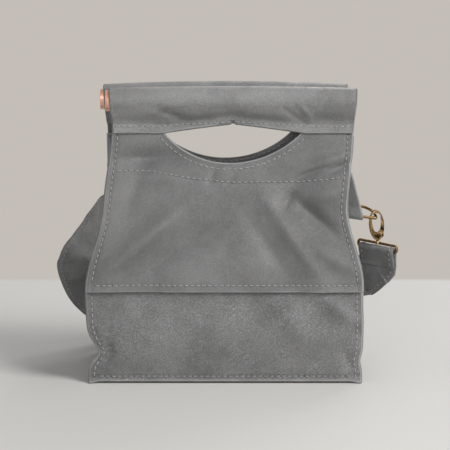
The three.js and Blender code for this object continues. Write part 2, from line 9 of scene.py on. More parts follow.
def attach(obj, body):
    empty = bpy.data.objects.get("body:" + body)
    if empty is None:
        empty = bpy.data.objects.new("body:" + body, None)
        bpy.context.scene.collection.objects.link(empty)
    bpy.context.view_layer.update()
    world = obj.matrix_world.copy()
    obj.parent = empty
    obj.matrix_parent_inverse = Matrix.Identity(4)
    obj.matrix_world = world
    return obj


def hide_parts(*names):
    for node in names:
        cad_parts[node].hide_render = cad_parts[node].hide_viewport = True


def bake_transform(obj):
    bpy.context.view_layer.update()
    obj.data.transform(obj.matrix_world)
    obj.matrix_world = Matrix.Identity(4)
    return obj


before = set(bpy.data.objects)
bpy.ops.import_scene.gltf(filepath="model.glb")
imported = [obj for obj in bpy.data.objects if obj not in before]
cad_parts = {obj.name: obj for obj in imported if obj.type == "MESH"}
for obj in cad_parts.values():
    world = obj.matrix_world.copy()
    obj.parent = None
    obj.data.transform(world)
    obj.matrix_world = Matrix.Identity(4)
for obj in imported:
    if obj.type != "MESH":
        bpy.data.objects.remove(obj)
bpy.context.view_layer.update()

MM = 0.001

# Sizes shared with the solids, in millimetres
LEATHER = 1.8
STRAP_LEATHER = 2.4
GAP = 0.3
SEAM_HEIGHT = 79
SEAM_OVERLAP = 12
WAIST_HEIGHT = 150
PANEL_TOP = 217
BASE_HALF_WIDTH = 115.5
SEAM_HALF_WIDTH = 117.3
WAIST_HALF_WIDTH = 103.5
BASE_HALF_DEPTH = 60
SEAM_HALF_DEPTH = 58.3
MOUTH_HALF_DEPTH = 11.8
SEAM_FLANGE = 7
BASE_UPTURN = 9
LEAN_START = 140
GUSSET_TOP = 207
GUSSET_TOP_HALF_WIDTH = 44
TUBE_OUTER_R = 9
TUBE_HEIGHT = 237.4
TUBE_HALF_SPACING = 12.3
SLEEVE_HALF_LENGTH = 106.5
SKIRT_BOTTOM = 210
FACING_BOTTOM = 168
FACING_INSET = 9
HOLE_HALF_WIDTH = 61
HOLE_TIP_HEIGHT = 211.3
HOLE_DROP = 27.2
TAB_WIDTH = 14.5
RING_WIRE_R = 1.4
RING_HALF_BAR = 14.3
RING_DEPTH = 19
RING_CORNER = 1.8
CLAW_SLACK = 1.7
HOOK_DEPTH = 4.6
HOOK_HALF_LENGTH = 13.8
EYE_TOP = 11.4
LOOP_WIRE_R = 1.3
LOOP_HEIGHT = 6
LOOP_CORNER = 2.5
POST_R = 1.3
POST_LENGTH = 4.4
POST_INSERT = 2.2
STRAP_WIDTH = 36
STRAP_EDGE_CLEAR = 0.4
STRAP_FOLD = 15
FOLD_REACH = 4

# How far the cut edge shows beside the grain
EDGE_BEVEL = 0.6
# How far the upper panel's lower edge stands off the band under it
EDGE_STANDS_OFF = 1.1
EDGE_STAND_REACH = 8
# How far the band dips under that edge
SEAM_DIP = 1.0

# Thread
STITCH_PITCH = 5.0
STITCH_LENGTH = 3.7
THREAD_R = 0.4
SEAM_STITCH_IN = 4.4
SEAM_STITCH_UP = 5
BASE_STITCH_HEIGHT = 6.0
HOLE_STITCH_OUT = {"front": 4.7, "back": 2.6}
# Share of the hand hole's arc that is stitched
HOLE_STITCHED = 0.97
STITCH_LIFT = 0.12
NEEDLE_HOLE_R = 0.42
NEEDLE_HOLE_DEPTH = 0.4
# How deep a row of stitches pulls the leather in, and how far to each side
FURROW_DEPTH = 0.45
FURROW_REACH = 1.3
LINING_FURROW_REACH = 1.5


class Side:
    """One side of the mouth: its direction, its lean to the right and the soft folds of its leather."""

    def __init__(self, name, y, lean, folds, pinches):
        self.name, self.y, self.lean, self.folds, self.pinches = name, y, lean, folds, pinches


# A fold: place along the panel, height, slope in degrees, reach along and across, how far out it stands
FRONT_FOLDS = [
    (-67, 123, 39, 46, 10, 8.6),
    (-48, 108, 39, 40, 10, -4.4),
    (56, 124, -55, 42, 8, 5.2),
    (38, 112, -55, 34, 9, -3.6),
    (78, 138, -40, 24, 7, -7.0),
    (53, 153, 60, 10, 5, -4.2),
    (86, 159, 8, 20, 11, 5.0),
    (93, 106, -30, 22, 10, 6.5),
    (70, 176, 22, 14, 3.4, -4.4),
    (94, 180, 24, 12, 3.0, -4.6),
    (84, 186, 20, 20, 3.6, 3.6),
    (-74, 187, 2, 30, 9, -8.0),
    (-60, 173, -6, 30, 7, 2.8),
    (86, 173, 0, 26, 8, 3.4),
    (-80, 160, 80, 20, 10, -3.6),
    (-14, 173, 72, 8, 2.6, -2.0),
    (3, 171, 58, 7, 2.6, -1.8),
    (0, 40, 0, 95, 24, 4.4),
    (-70, 58, 60, 22, 8, -2.4),
    (60, 50, -50, 26, 10, 2.4),
    (-97.5, 20, 61, 13, 2.8, 2.2),
    (-105, 26, 50, 10, 4, -2.4),
    (-103, 41, -48, 12, 4, 0.8),
    (106, 18, -70, 14, 5, -2.4),
    (96, 64, -35, 20, 7, 4.2),
]
BACK_FOLDS = [
    (-52, 132, 42, 50, 14, 4.8),
    (60, 138, -44, 50, 13, 5.1),
    (0, 124, 0, 36, 28, -3.5),
    (-84, 140, 35, 24, 10, -4.2),
    (72, 180, 14, 22, 4, -1.6),
    (0, 38, 0, 95, 24, 3.5),
    (92, 28, -60, 20, 6, -3.5),
    (-76, 52, 50, 26, 10, 1.9),
]
# A fold's crest: how round it is, and how fast it falls to the sides
CREST_ROUND = 0.6
CREST_FALL = 1.6
# Heights over which the folds begin above the foot and end below the neck
FOLDS_BEGIN = (2, 18)
FOLDS_END = (195, 209)
# The foot: its height over the floor, how far its middle lifts, and how far it flares
FOOT = 0.6
FOOT_CLEAR = 1.4
FLARE = 3.6
FLARE_HEIGHT = 5
# How far a gusset's raw edge shows beside the panel
FLANGE_SHOWS = 0.9
# A pinch draws a side edge in: which edge, height, reach, how far
FRONT_PINCHES = [(-1, 27, 9.5, 9.4), (-1, 40, 7.0, 1.2), (1, 19, 6.0, 1.9), (1, 72, 16.0, 1.1)]
BACK_PINCHES = [(1, 30, 11.0, 5.5), (-1, 24, 9.0, 3.0)]
PINCH_REACH = 52
# How far the hand hole's lip rolls out
LIP_ROLL = {"front": 0.5, "back": 1.8}
LIP_HEIGHT = 5

FRONT = Side("front", -1, 6.9, FRONT_FOLDS, FRONT_PINCHES)
BACK = Side("back", 1, 0.6, BACK_FOLDS, BACK_PINCHES)
SIDES = (FRONT, BACK)


def smooth(t):
    t = np.clip(t, 0.0, 1.0)
    return t * t * (3 - 2 * t)


def rising(value, low, high):
    """0 up to the low value, 1 from the high one on."""
    return smooth((value - low) / (high - low))


def mix(a, b, t):
    return a + (b - a) * t


def hump(value, at, reach):
    """1 at a given value, falling off to both sides."""
    return np.exp(-(((value - at) / reach) ** 2))


def unit(vectors):
    return vectors / np.maximum(np.linalg.norm(vectors, axis=-1, keepdims=True), 1e-9)


def run_along(line):
    """Distance from a line's first point to each of its points."""
    return np.concatenate([[0], np.cumsum(np.linalg.norm(np.diff(line, axis=0), axis=1))])


def between(marks, run, points):
    """Points at the given distances along a line."""
    return np.stack([np.interp(marks, run, points[:, k]) for k in range(points.shape[1])], -1)


def fold_place(fold, a, z):
    """A place seen from a fold: how far along it and across it, as shares of its reach."""
    a0, z0, slope, along, across, _ = fold
    c, s = math.cos(math.radians(slope)), math.sin(math.radians(slope))
    u = ((a - a0) * c + (z - z0) * s) / along
    v = (-(a - a0) * s + (z - z0) * c) / across
    return u, v


def half_width(z):
    lower = mix(BASE_HALF_WIDTH, SEAM_HALF_WIDTH, z / SEAM_HEIGHT)
    t = rising(z, SEAM_HEIGHT, WAIST_HEIGHT)
    return np.where(z <= SEAM_HEIGHT, lower, mix(SEAM_HALF_WIDTH, WAIST_HALF_WIDTH, t))


def lean(side, z):
    return side.lean * rising(z, LEAN_START, PANEL_TOP)


def upper_inner(z):
    return mix(SEAM_HALF_DEPTH + GAP, MOUTH_HALF_DEPTH, (z - SEAM_HEIGHT) / (PANEL_TOP - SEAM_HEIGHT))


def upper_outer(z):
    return upper_inner(z) + LEATHER


def lower_outer(z):
    low = mix(BASE_HALF_DEPTH, SEAM_HALF_DEPTH, z / SEAM_HEIGHT)
    return np.where(z <= SEAM_HEIGHT, low, upper_inner(z) - GAP)


def lining_middle(z):
    return upper_inner(z) - GAP - LEATHER / 2


def lining_inner(z):
    return lining_middle(z) - LEATHER / 2


def skirt_middle(z):
    return upper_outer(z) + GAP + LEATHER / 2


def flange_depth(z):
    in_lower = lower_outer(z) - LEATHER - GAP - LEATHER / 2
    past = rising(z, SEAM_HEIGHT + SEAM_OVERLAP, SEAM_HEIGHT + 2 * SEAM_OVERLAP)
    return in_lower + past * (LEATHER + GAP)


def sag(side, a, z):
    """How far the leather stands out from its flat shape, at a place along the panel and a height."""
    total = np.zeros(np.broadcast(a, z).shape)
    for fold in side.folds:
        u, v = fold_place(fold, a, z)
        crest = np.sqrt(v * v + CREST_ROUND**2) - CREST_ROUND
        total = total + fold[-1] * np.exp(-u * u - CREST_FALL * crest)
    folded = rising(z, *FOLDS_BEGIN) * (1 - rising(z, *FOLDS_END))
    flare = FLARE * np.clip(1 - z / FLARE_HEIGHT, 0, 1) ** 2
    lip = smooth(1 + (z - panel_top(a)) / LIP_HEIGHT) ** 2 * (np.abs(a) < HOLE_HALF_WIDTH)
    return total * folded + flare + LIP_ROLL[side.name] * lip


def pinch(side, a, z):
    """How far a side edge is drawn in, as a shift along the panel."""
    shift = np.zeros(np.broadcast(a, z).shape)
    for hand, z0, reach, inward in side.pinches:
        near = smooth((hand * a - half_width(z) + PINCH_REACH) / PINCH_REACH) ** 2
        shift = shift - hand * inward * near * hump(z, z0, reach)
    return shift


def on_side(side, a, z, depth):
    """A point of one side's leather: a along the panel, z up and depth out from the middle."""
    a, z, depth = np.broadcast_arrays(*(np.asarray(v, float) for v in (a, z, depth)))
    x = lean(side, z) + a + pinch(side, a, z)
    y = side.y * (depth + sag(side, a, z))
    return np.stack([x, y, z], -1)


def arc_drop(x, fall):
    """Depth of the hand hole's arc under its chord, when its middle falls by a given amount."""
    radius = (HOLE_HALF_WIDTH**2 + fall**2) / (2 * fall)
    inside = np.clip(radius**2 - np.asarray(x, float) ** 2, 0, None)
    return np.clip(np.sqrt(inside) - (radius - fall), 0, None)


def panel_top(a):
    """Top edge of a panel: the hand hole's lower arc, and the full height past its tips."""
    x = np.asarray(a, float)
    arc = HOLE_TIP_HEIGHT - arc_drop(x, HOLE_DROP)
    past = rising(np.abs(x), HOLE_HALF_WIDTH, HOLE_HALF_WIDTH + 2)
    return mix(arc, PANEL_TOP, past)


def stations(low, high, step, fine=(), fine_step=0.9, reach=6.0):
    """Numbers from low to high, closer together near each of the fine places."""
    marks = [low]
    while marks[-1] < high - 1e-9:
        here = marks[-1]
        near = min([abs(here - f) for f in fine] or [1e9])
        pace = mix(fine_step, step, float(smooth((near - reach) / (2 * reach))))
        marks.append(here + pace)
    marks = np.array(marks)
    return low + (marks - low) * (high - low) / (marks[-1] - low)


# Meshes
def linked(name, data):
    made = bpy.data.objects.new(name, data)
    bpy.context.scene.collection.objects.link(made)
    return made


def new_object(name, points_mm, faces, materials, indices=None, smooth_faces=True):
    mesh = bpy.data.meshes.new(name)
    mesh.from_pydata((np.asarray(points_mm) * MM).tolist(), [], faces)
    for material in materials:
        mesh.materials.append(material)
    if indices is not None:
        mesh.polygons.foreach_set("material_index", indices)
    mesh.polygons.foreach_set("use_smooth", [smooth_faces] * len(mesh.polygons))
    mesh.update()
    return linked(name, mesh)


def tube_faces(rings, sides, start, closed):
    """Faces between rings of points, the last ring joined to the first if it is closed."""
    faces = []
    for r in range(rings if closed else rings - 1):
        a, b = start + r * sides, start + (r + 1) % rings * sides
        faces += [[a + k, a + (k + 1) % sides, b + (k + 1) % sides, b + k] for k in range(sides)]
    return faces


def grid_normals(grid):
    down = np.gradient(grid, axis=0)
    across = np.gradient(grid, axis=1)
    return unit(np.cross(across, down))


class Skin:
    """Gathers sheets of leather into one closed mesh with a grain face, a flesh face and raw edges."""

    def __init__(self):
        self.points, self.faces, self.slots = [], [], []

    def sheet(self, grid, outward, thickness=LEATHER, square=(0, 0, 0)):
        """Adds a grid of middle points whose grain faces outward, bevelled but for edges along square."""
        grid = np.asarray(grid, float)
        normal = grid_normals(grid)
        if np.ndim(outward):
            sign = 1 if np.sum(normal * np.asarray(outward)) > 0 else -1
        else:
            sign = outward
        normal = normal * sign
        rows, columns = grid.shape[:2]
        base = sum(len(p) for p in self.points)
        half = thickness / 2
        count = rows * columns
        number = np.arange(count).reshape(rows, columns)
        corners = [number[:-1, :-1], number[:-1, 1:], number[1:, 1:], number[1:, :-1]]
        quads = np.stack(corners, -1).reshape(-1, 4)
        if sign < 0:
            quads = quads[:, ::-1]
        ring = np.concatenate([number[0, :-1], number[:-1, -1], number[-1, :0:-1], number[:0:-1, 0]])
        flat, flat_normal = grid.reshape(-1, 3)[ring], normal.reshape(-1, 3)[ring]
        along = np.roll(flat, -1, 0) - np.roll(flat, 1, 0)
        out = unit(np.cross(along, flat_normal) * sign)
        grain, flesh = (grid + normal * half).reshape(-1, 3), (grid - normal * half).reshape(-1, 3)
        cut_square = out @ np.asarray(square) > 0.7
        grain[ring] -= out * np.where(cut_square, 0.0, EDGE_BEVEL)[:, None]
        rims = [flat + flat_normal * half * s + out * half * 0.5 for s in (0.5, -0.5)]
        self.points += [grain, flesh, *rims]
        self.faces += (quads[:, ::-1] + base).tolist() + (quads + count + base).tolist()
        self.slots += [0] * len(quads) + [1] * len(quads)
        n = len(ring)
        rim = 2 * count + base + np.arange(n)
        bands = [ring + base, rim, rim + n, ring + count + base]
        for upper, lower in zip(bands, bands[1:]):
            band = np.stack([upper, np.roll(upper, -1), np.roll(lower, -1), lower], -1)
            self.faces += (band if sign > 0 else band[:, ::-1]).tolist()
            self.slots += [2] * n
        return self

    def build(self, name, materials):
        return new_object(name, np.concatenate(self.points), self.faces, materials, self.slots)


def dress(piece, cad_node, body):
    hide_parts(cad_node)
    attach(piece, body)


# Materials
def group_nodes(name, inputs, outputs):
    group = bpy.data.node_groups.new(name, "ShaderNodeTree")
    for label, kind, value in inputs:
        socket = group.interface.new_socket(label, in_out="INPUT", socket_type=kind)
        socket.default_value = value
    for label in outputs:
        group.interface.new_socket(label, in_out="OUTPUT", socket_type="NodeSocketFloat")
    return group, group.nodes.new("NodeGroupInput"), group.nodes.new("NodeGroupOutput")


def link_or_set(tree, socket, value):
    if isinstance(value, bpy.types.NodeSocket):
        tree.links.new(value, socket)
    else:
        socket.default_value = value


def node(tree, kind, links=None, **settings):
    """Adds a node, sets its properties, and links or sets its inputs by name or number."""
    made = tree.nodes.new(kind)
    for key, value in settings.items():
        setattr(made, key, value)
    for key, value in (links or {}).items():
        link_or_set(tree, made.inputs[key], value)
    return made


def ramp(tree, value, low, high):
    """Value stretched so that low becomes 0 and high becomes 1."""
    links = {"Value": value, "From Min": low, "From Max": high}
    return node(tree, "ShaderNodeMapRange", links, interpolation_type="SMOOTHSTEP").outputs["Result"]


def math_node(tree, operation, a, b=0.0):
    return node(tree, "ShaderNodeMath", {0: a, 1: b}, operation=operation).outputs[0]


def opposite(tree, value):
    return math_node(tree, "SUBTRACT", 1.0, value)


def noise(tree, place, scale, detail=2.0, **more):
    links = {"Vector": place, "Scale": scale, "Detail": detail, **more}
    return node(tree, "ShaderNodeTexNoise", links).outputs["Fac"]


def scaled(tree, place, factors):
    return node(tree, "ShaderNodeVectorMath", {0: place, 1: factors}, operation="MULTIPLY").outputs[0]


def mix_colours(tree, factor, a, b):
    mixed = node(tree, "ShaderNodeMix", data_type="RGBA")
    for key, value in (("Factor_Float", factor), ("A_Color", a), ("B_Color", b)):
        link_or_set(tree, next(s for s in mixed.inputs if s.identifier == key), value)
    return next(s for s in mixed.outputs if s.identifier == "Result_Color")


def leather_grain_group():
    """Pebbled pores, fine creases and cloudy tone of hide, from the place on the piece."""
    inputs = [
        ("Vector", "NodeSocketVector", (0, 0, 0)),
        ("Pore Scale", "NodeSocketFloat", 900.0),
        ("Crease Scale", "NodeSocketFloat", 170.0),
        ("Cloud Scale", "NodeSocketFloat", 22.0),
    ]
    labels = ("Height", "Cloud", "Crease", "Pebble", "Vein")
    group, into, out = group_nodes("leather_grain", inputs, labels)
    place, pore_scale, crease_scale, cloud_scale = (into.outputs[label] for label, _, _ in inputs)

    def times(value, factor):
        return math_node(group, "MULTIPLY", value, factor)

    def added(a, b):
        return math_node(group, "ADD", a, b)

    links = {"Vector": place, "Scale": times(pore_scale, 0.5), "Detail": 2.0}
    shake = node(group, "ShaderNodeTexNoise", links)
    reach = {0: shake.outputs["Color"], "Scale": math_node(group, "DIVIDE", 2.6, pore_scale)}
    moved = node(group, "ShaderNodeVectorMath", reach, operation="SCALE").outputs[0]
    shaken = node(group, "ShaderNodeVectorMath", {0: place, 1: moved}, operation="ADD").outputs[0]
    links = {"Vector": shaken, "Scale": pore_scale}
    pores = node(group, "ShaderNodeTexVoronoi", links, feature="DISTANCE_TO_EDGE").outputs["Distance"]
    pebble = ramp(group, pores, 0.0, 0.2)
    fine = noise(group, place, pore_scale, 3.0)

    stretched = scaled(group, place, (1.0, 1.0, 0.45))
    crease = noise(group, stretched, crease_scale, 5.0, Roughness=0.62, Distortion=1.6)
    crease = ramp(group, crease, 0.3, 0.7)
    cloud = ramp(group, noise(group, place, cloud_scale, 4.0, Roughness=0.6), 0.3, 0.72)
    patches = noise(group, place, times(cloud_scale, 1.7))

    turn = {"Vector": place, "Axis": (0.0, 1.0, 0.0), "Angle": math.radians(32)}
    drawn = scaled(group, node(group, "ShaderNodeVectorRotate", turn).outputs["Vector"], (0.22, 1.0, 1.6))
    wrinkle = ramp(group, noise(group, drawn, times(crease_scale, 2.4), 3.0, Distortion=0.8), 0.38, 0.62)
    wrinkle = times(wrinkle, ramp(group, patches, 0.4, 0.66))

    veins = noise(group, place, times(crease_scale, 1.9), Distortion=1.4)
    beside = math_node(group, "ABSOLUTE", math_node(group, "SUBTRACT", veins, 0.5))
    vein = times(opposite(group, ramp(group, beside, 0.0, 0.06)), ramp(group, patches, 0.36, 0.6))

    height = added(times(fine, 0.5), times(pebble, 0.5))
    height = added(added(height, times(crease, 0.5)), times(wrinkle, 0.9))
    for label, value in zip(labels, (height, cloud, crease, pebble, vein)):
        group.links.new(value, out.inputs[label])
    return group


def metal_wear_group():
    """Rubbed high places and tarnish in the hollows of a metal piece."""
    inputs = [
        ("Vector", "NodeSocketVector", (0, 0, 0)),
        ("Scale", "NodeSocketFloat", 260.0),
        ("Pointiness", "NodeSocketFloat", 0.5),
    ]
    labels = ("Rubbed", "Tarnish", "Height")
    group, into, out = group_nodes("metal_wear", inputs, labels)
    place, scale, point = (into.outputs[label] for label, _, _ in inputs)
    patches = noise(group, place, scale, 4.0, Roughness=0.6)
    fine = noise(group, place, math_node(group, "MULTIPLY", scale, 7.0))
    rubbed = ramp(group, point, 0.53, 0.64)
    hollow = opposite(group, ramp(group, point, 0.42, 0.5))
    tarnish = math_node(group, "MAXIMUM", hollow, ramp(group, patches, 0.48, 0.64))
    for label, value in zip(labels, (rubbed, tarnish, fine)):
        group.links.new(value, out.inputs[label])
    return group


LEATHER_GRAIN = leather_grain_group()
METAL_WEAR = metal_wear_group()


def material_of(name):
    made = bpy.data.materials.new(name)
    made.use_nodes = True
    tree = made.node_tree
    return made, tree, tree.nodes["Principled BSDF"]


def finish_shader(tree, shader, colour, roughness, height, bump, relief):
    """Links a material's colour, its roughness and its relief in metres."""
    links = {"Height": height, "Strength": bump, "Distance": relief}
    normal = node(tree, "ShaderNodeBump", links).outputs["Normal"]
    for key, value in (("Base Color", colour), ("Roughness", roughness), ("Normal", normal)):
        tree.links.new(value, shader.inputs[key])


def spread(tree, value, low, high):
    """Value from 0 to 1 turned into one from low to high."""
    links = {"Value": value, "To Min": low, "To Max": high}
    return node(tree, "ShaderNodeMapRange", links).outputs["Result"]


def grey(value):
    """A leather grey, a little cool."""
    return (value, value, value * 1.012, 1.0)


def leather_material(name, tone, contrast, roughness, gloss, pore, crease, cloud, bump, seam=0.3):
    """Leather of a tone, with the scales of its grain and how dark its pores are."""
    made, tree, shader = material_of(name)
    place = node(tree, "ShaderNodeTexCoord").outputs["Object"]
    values = {"Vector": place, "Pore Scale": pore, "Crease Scale": crease, "Cloud Scale": cloud}
    grain = node(tree, "ShaderNodeGroup", values, node_tree=LEATHER_GRAIN).outputs
    dark, light = grey(tone * (1 - contrast)), grey(tone * (1 + contrast))
    clouded = mix_colours(tree, grain["Cloud"], dark, light)
    lit = math_node(tree, "MULTIPLY", grain["Crease"], 0.3)
    creased = mix_colours(tree, lit, clouded, grey(tone * (1 + 1.6 * contrast)))
    seams = math_node(tree, "MULTIPLY", opposite(tree, grain["Pebble"]), seam)
    veins = math_node(tree, "MULTIPLY", grain["Vein"], seam)
    veined = mix_colours(tree, veins, creased, grey(tone * (1 + 2.6 * contrast)))
    colour = mix_colours(tree, seams, veined, grey(tone * (1 - 2 * contrast)))
    rough = spread(tree, grain["Cloud"], roughness + gloss, roughness - gloss)
    finish_shader(tree, shader, colour, rough, grain["Height"], bump, 0.0005)
    return made


def metal_material(name, bright, dark, roughness, scale, bump, flat=None):
    """flat is the direction of the rubbed faces of a piece whose edges are left dark."""
    made, tree, shader = material_of(name)
    place = node(tree, "ShaderNodeTexCoord").outputs["Object"]
    point = node(tree, "ShaderNodeNewGeometry").outputs["Pointiness"]
    values = {"Vector": place, "Scale": scale, "Pointiness": point}
    wear = node(tree, "ShaderNodeGroup", values, node_tree=METAL_WEAR).outputs
    tarnish, rubbed = wear["Tarnish"], wear["Rubbed"]
    if flat:
        sides = {0: node(tree, "ShaderNodeTexCoord").outputs["Normal"], 1: flat}
        along = node(tree, "ShaderNodeVectorMath", sides, operation="DOT_PRODUCT").outputs["Value"]
        shown = ramp(tree, math_node(tree, "ABSOLUTE", along), 0.6, 0.95)
        tarnish = math_node(tree, "MAXIMUM", tarnish, opposite(tree, shown))
        rubbed = math_node(tree, "MULTIPLY", rubbed, shown)
    tinted = mix_colours(tree, tarnish, (*bright, 1), (*dark, 1))
    polished = tuple(min(1.0, c * 1.25) for c in bright)
    colour = mix_colours(tree, rubbed, tinted, (*polished, 1))
    rough = spread(tree, tarnish, roughness, roughness + 0.25)
    finish_shader(tree, shader, colour, rough, wear["Height"], bump, 0.0002)
    shader.inputs["Metallic"].default_value = 1.0
    return made


# Leathers: tone, contrast, roughness, gloss, scales of pores, creases and clouds, relief, dark of the pores
SMOOTH_LEATHER = leather_material("smooth_leather", 0.146, 0.24, 0.44, 0.08, 640, 190, 20, 0.5, 0.22)
# The sleeve leather is the smooth leather with a lighter tone: painted light, for the light that the
# sleeves' tops and the ring tabs catch; the linings share it.
SLEEVE_LEATHER_PAINTED_LIGHT = leather_material("sleeve_leather", 0.212, 0.28, 0.42, 0.08, 560, 150, 24, 0.6, 0.3)
ROUGH_LEATHER = leather_material("rough_leather", 0.205, 0.26, 0.58, 0.08, 560, 120, 26, 1.0, 0.55)
FLESH_SIDE = leather_material("flesh_side", 0.15, 0.14, 0.85, 0.04, 1500, 320, 30, 0.5)
RAW_EDGE = leather_material("raw_edge", 0.31, 0.2, 0.75, 0.05, 1800, 500, 60, 0.5)
STRAP_FACE = leather_material("strap_face", 0.225, 0.3, 0.36, 0.1, 800, 160, 40, 0.35)
STRAP_BACK = leather_material("strap_back", 0.225, 0.3, 0.4, 0.1, 800, 160, 40, 0.35)
STRAP_EDGE = leather_material("strap_edge", 0.17, 0.2, 0.7, 0.05, 1600, 400, 50, 0.4)
THREAD = leather_material("thread", 0.38, 0.1, 0.6, 0.05, 2600, 1500, 90, 0.3)
# Needle holes get a near-black tone: painted shade for the depth of each hole.
NEEDLE_HOLE_PAINTED_SHADE = leather_material("needle_hole_painted_shade", 0.06, 0.2, 0.8, 0.05, 1500, 700, 90, 0.2)
# Metals: bright and dark tones, roughness, scale of the wear, relief
COPPER = metal_material("copper", (0.9, 0.53, 0.41), (0.78, 0.41, 0.3), 0.38, 90, 0.1)
WIRE_BRASS = metal_material("wire_brass", (0.5, 0.34, 0.17), (0.16, 0.1, 0.045), 0.24, 300, 0.08)
CAST_TONES = ((0.3, 0.19, 0.085), (0.02, 0.013, 0.007))
CAST_BRASS = {
    name: metal_material(f"{name}_cast_brass", *CAST_TONES, 0.24, 150, 0.05, flat)
    for name, flat in (("left", (1, 0, 0)), ("right", (0, 1, 0)))
}

SMOOTH_SET = [SMOOTH_LEATHER, FLESH_SIDE, RAW_EDGE]
SLEEVE_SET_PAINTED_LIGHT = [SLEEVE_LEATHER_PAINTED_LIGHT, FLESH_SIDE, RAW_EDGE]
ROUGH_SET = [ROUGH_LEATHER, FLESH_SIDE, RAW_EDGE]
STRAP_SET = [STRAP_FACE, STRAP_BACK, STRAP_EDGE]
THREAD_SET = [THREAD, NEEDLE_HOLE_PAINTED_SHADE]


# Stitching
class Stitches:
    """Gathers thread stitches and the needle holes between them into one mesh."""

    RING = 6
    STEPS = 5
    # A direction that no leather here faces
    ASKEW = (0.31, 0.17, 0.93)

    def __init__(self):
        self.points, self.faces, self.slots, self.count = [], [], [], 0

    def row(self, line, normals):
        """Stitches along a line of points, each with the leather's outward direction."""
        line, normals = np.asarray(line, float), np.asarray(normals, float)
        run = run_along(line)
        number = max(1, int(run[-1] // STITCH_PITCH))
        start = (run[-1] - number * STITCH_PITCH) / 2

        def at(distance):
            return between(distance, run, line), unit(between(distance, run, normals))

        for i in range(number):
            middle = start + (i + 0.5) * STITCH_PITCH
            self.stitch(at, middle)
            self.hole(*at(middle - STITCH_PITCH / 2))
        self.hole(*at(start + number * STITCH_PITCH))

    def stitch(self, at, middle):
        """One stitch, whose ends dive into the leather."""
        rings = []
        for s in np.linspace(-1, 1, self.STEPS):
            here = middle + s * STITCH_LENGTH / 2
            point, normal = at(here)
            along = unit(at(here + 0.2)[0] - at(here - 0.2)[0])
            across = np.cross(along, normal)
            dive = abs(s) ** 3
            centre = point + normal * (STITCH_LIFT + THREAD_R * (0.75 - 1.5 * dive))
            turn = np.linspace(0, 2 * math.pi, self.RING, endpoint=False)[:, None]
            oval = np.cos(turn) * across + 0.8 * np.sin(turn) * normal
            rings.append(centre + THREAD_R * (1 - 0.45 * dive) * oval)
        base = self.count
        self.points.append(np.concatenate(rings))
        self.count += self.RING * self.STEPS
        self.faces += tube_faces(self.STEPS, self.RING, base, False)
        self.faces.append([base + k for k in reversed(range(self.RING))])
        self.faces.append([base + (self.STEPS - 1) * self.RING + k for k in range(self.RING)])
        self.slots += [0] * ((self.STEPS - 1) * self.RING + 2)

    def hole(self, point, normal):
        """A needle's hole: a plug whose dark tone is painted shade for the hole's depth, narrower at its
        bottom.
        """
        across = unit(np.cross(normal, self.ASKEW))
        other = np.cross(normal, across)
        turn = np.linspace(0, 2 * math.pi, self.RING, endpoint=False)[:, None]
        disc = NEEDLE_HOLE_R * (np.cos(turn) * across + np.sin(turn) * other)
        base = self.count
        self.points += [point + normal * 0.05 + disc, point - normal * NEEDLE_HOLE_DEPTH + 0.4 * disc]
        self.count += 2 * self.RING
        self.faces.append([base + k for k in range(self.RING)])
        self.faces.append([base + self.RING + k for k in reversed(range(self.RING))])
        for k in range(self.RING):
            m = (k + 1) % self.RING
            self.faces.append([base + m, base + k, base + self.RING + k, base + self.RING + m])
        self.slots += [1] * (self.RING + 2)

    def build(self, name):
        return new_object(name, np.concatenate(self.points), self.faces, THREAD_SET, self.slots)


def line_on_side(side, a, z, depth_of, inward=False):
    """Points and outward directions of a line drawn on one side's leather."""
    a, z = np.broadcast_arrays(np.asarray(a, float), np.asarray(z, float))
    here = on_side(side, a, z, depth_of(z))
    step = 0.5
    right = on_side(side, a + step, z, depth_of(z)) - on_side(side, a - step, z, depth_of(z))
    up = on_side(side, a, z + step, depth_of(z + step)) - on_side(side, a, z - step, depth_of(z - step))
    normal = unit(np.cross(right, up))
    towards = side.y * (-1 if inward else 1)
    flip = np.where(normal[:, 1:2] * towards > 0, 1.0, -1.0)
    return here, normal * flip


# Panels
def lower_panel(side):
    top = SEAM_HEIGHT + SEAM_OVERLAP
    heights = stations(FOOT, top, 2.6, fine=(2, BASE_STITCH_HEIGHT, SEAM_HEIGHT), fine_step=0.8, reach=3)
    shares = stations(-1, 1, 0.022, fine=(-1, 1), fine_step=0.008, reach=0.06)
    clear = FOOT_CLEAR * smooth((1 - np.abs(shares)) / 0.08)
    z = heights[:, None] + clear[None, :] * np.clip(1 - heights / 12, 0, 1)[:, None]
    grid = on_side(side, shares[None, :] * half_width(z), z, lower_outer(z) - LEATHER / 2)
    grid = furrowed(side, grid, [(z, BASE_STITCH_HEIGHT, FURROW_REACH)])
    grid[..., 1] -= side.y * SEAM_DIP * hump(z, SEAM_HEIGHT, 2.0)
    piece = Skin().sheet(grid, (0, side.y, 0)).build(f"{side.name}_lower_leather", ROUGH_SET)
    dress(piece, f"{side.name}_lower_panel", "bag")


def furrowed(side, grid, lines):
    """A grid with the slight furrows that rows of stitches pull into the leather."""
    pull = np.clip(sum(hump(*line) for line in lines), 0, 1)
    return grid - np.array([0, side.y * FURROW_DEPTH, 0]) * pull[..., None]


# The stitch line that holds the lining's lower edge: places along the panel and heights
LINING_STITCHES = ((-104, -66, -33, 2, 62, 104), (178.1, 177.9, 172.3, 168.6, 169.2, 173.4))


def facing_line(a):
    return np.interp(a, *LINING_STITCHES)


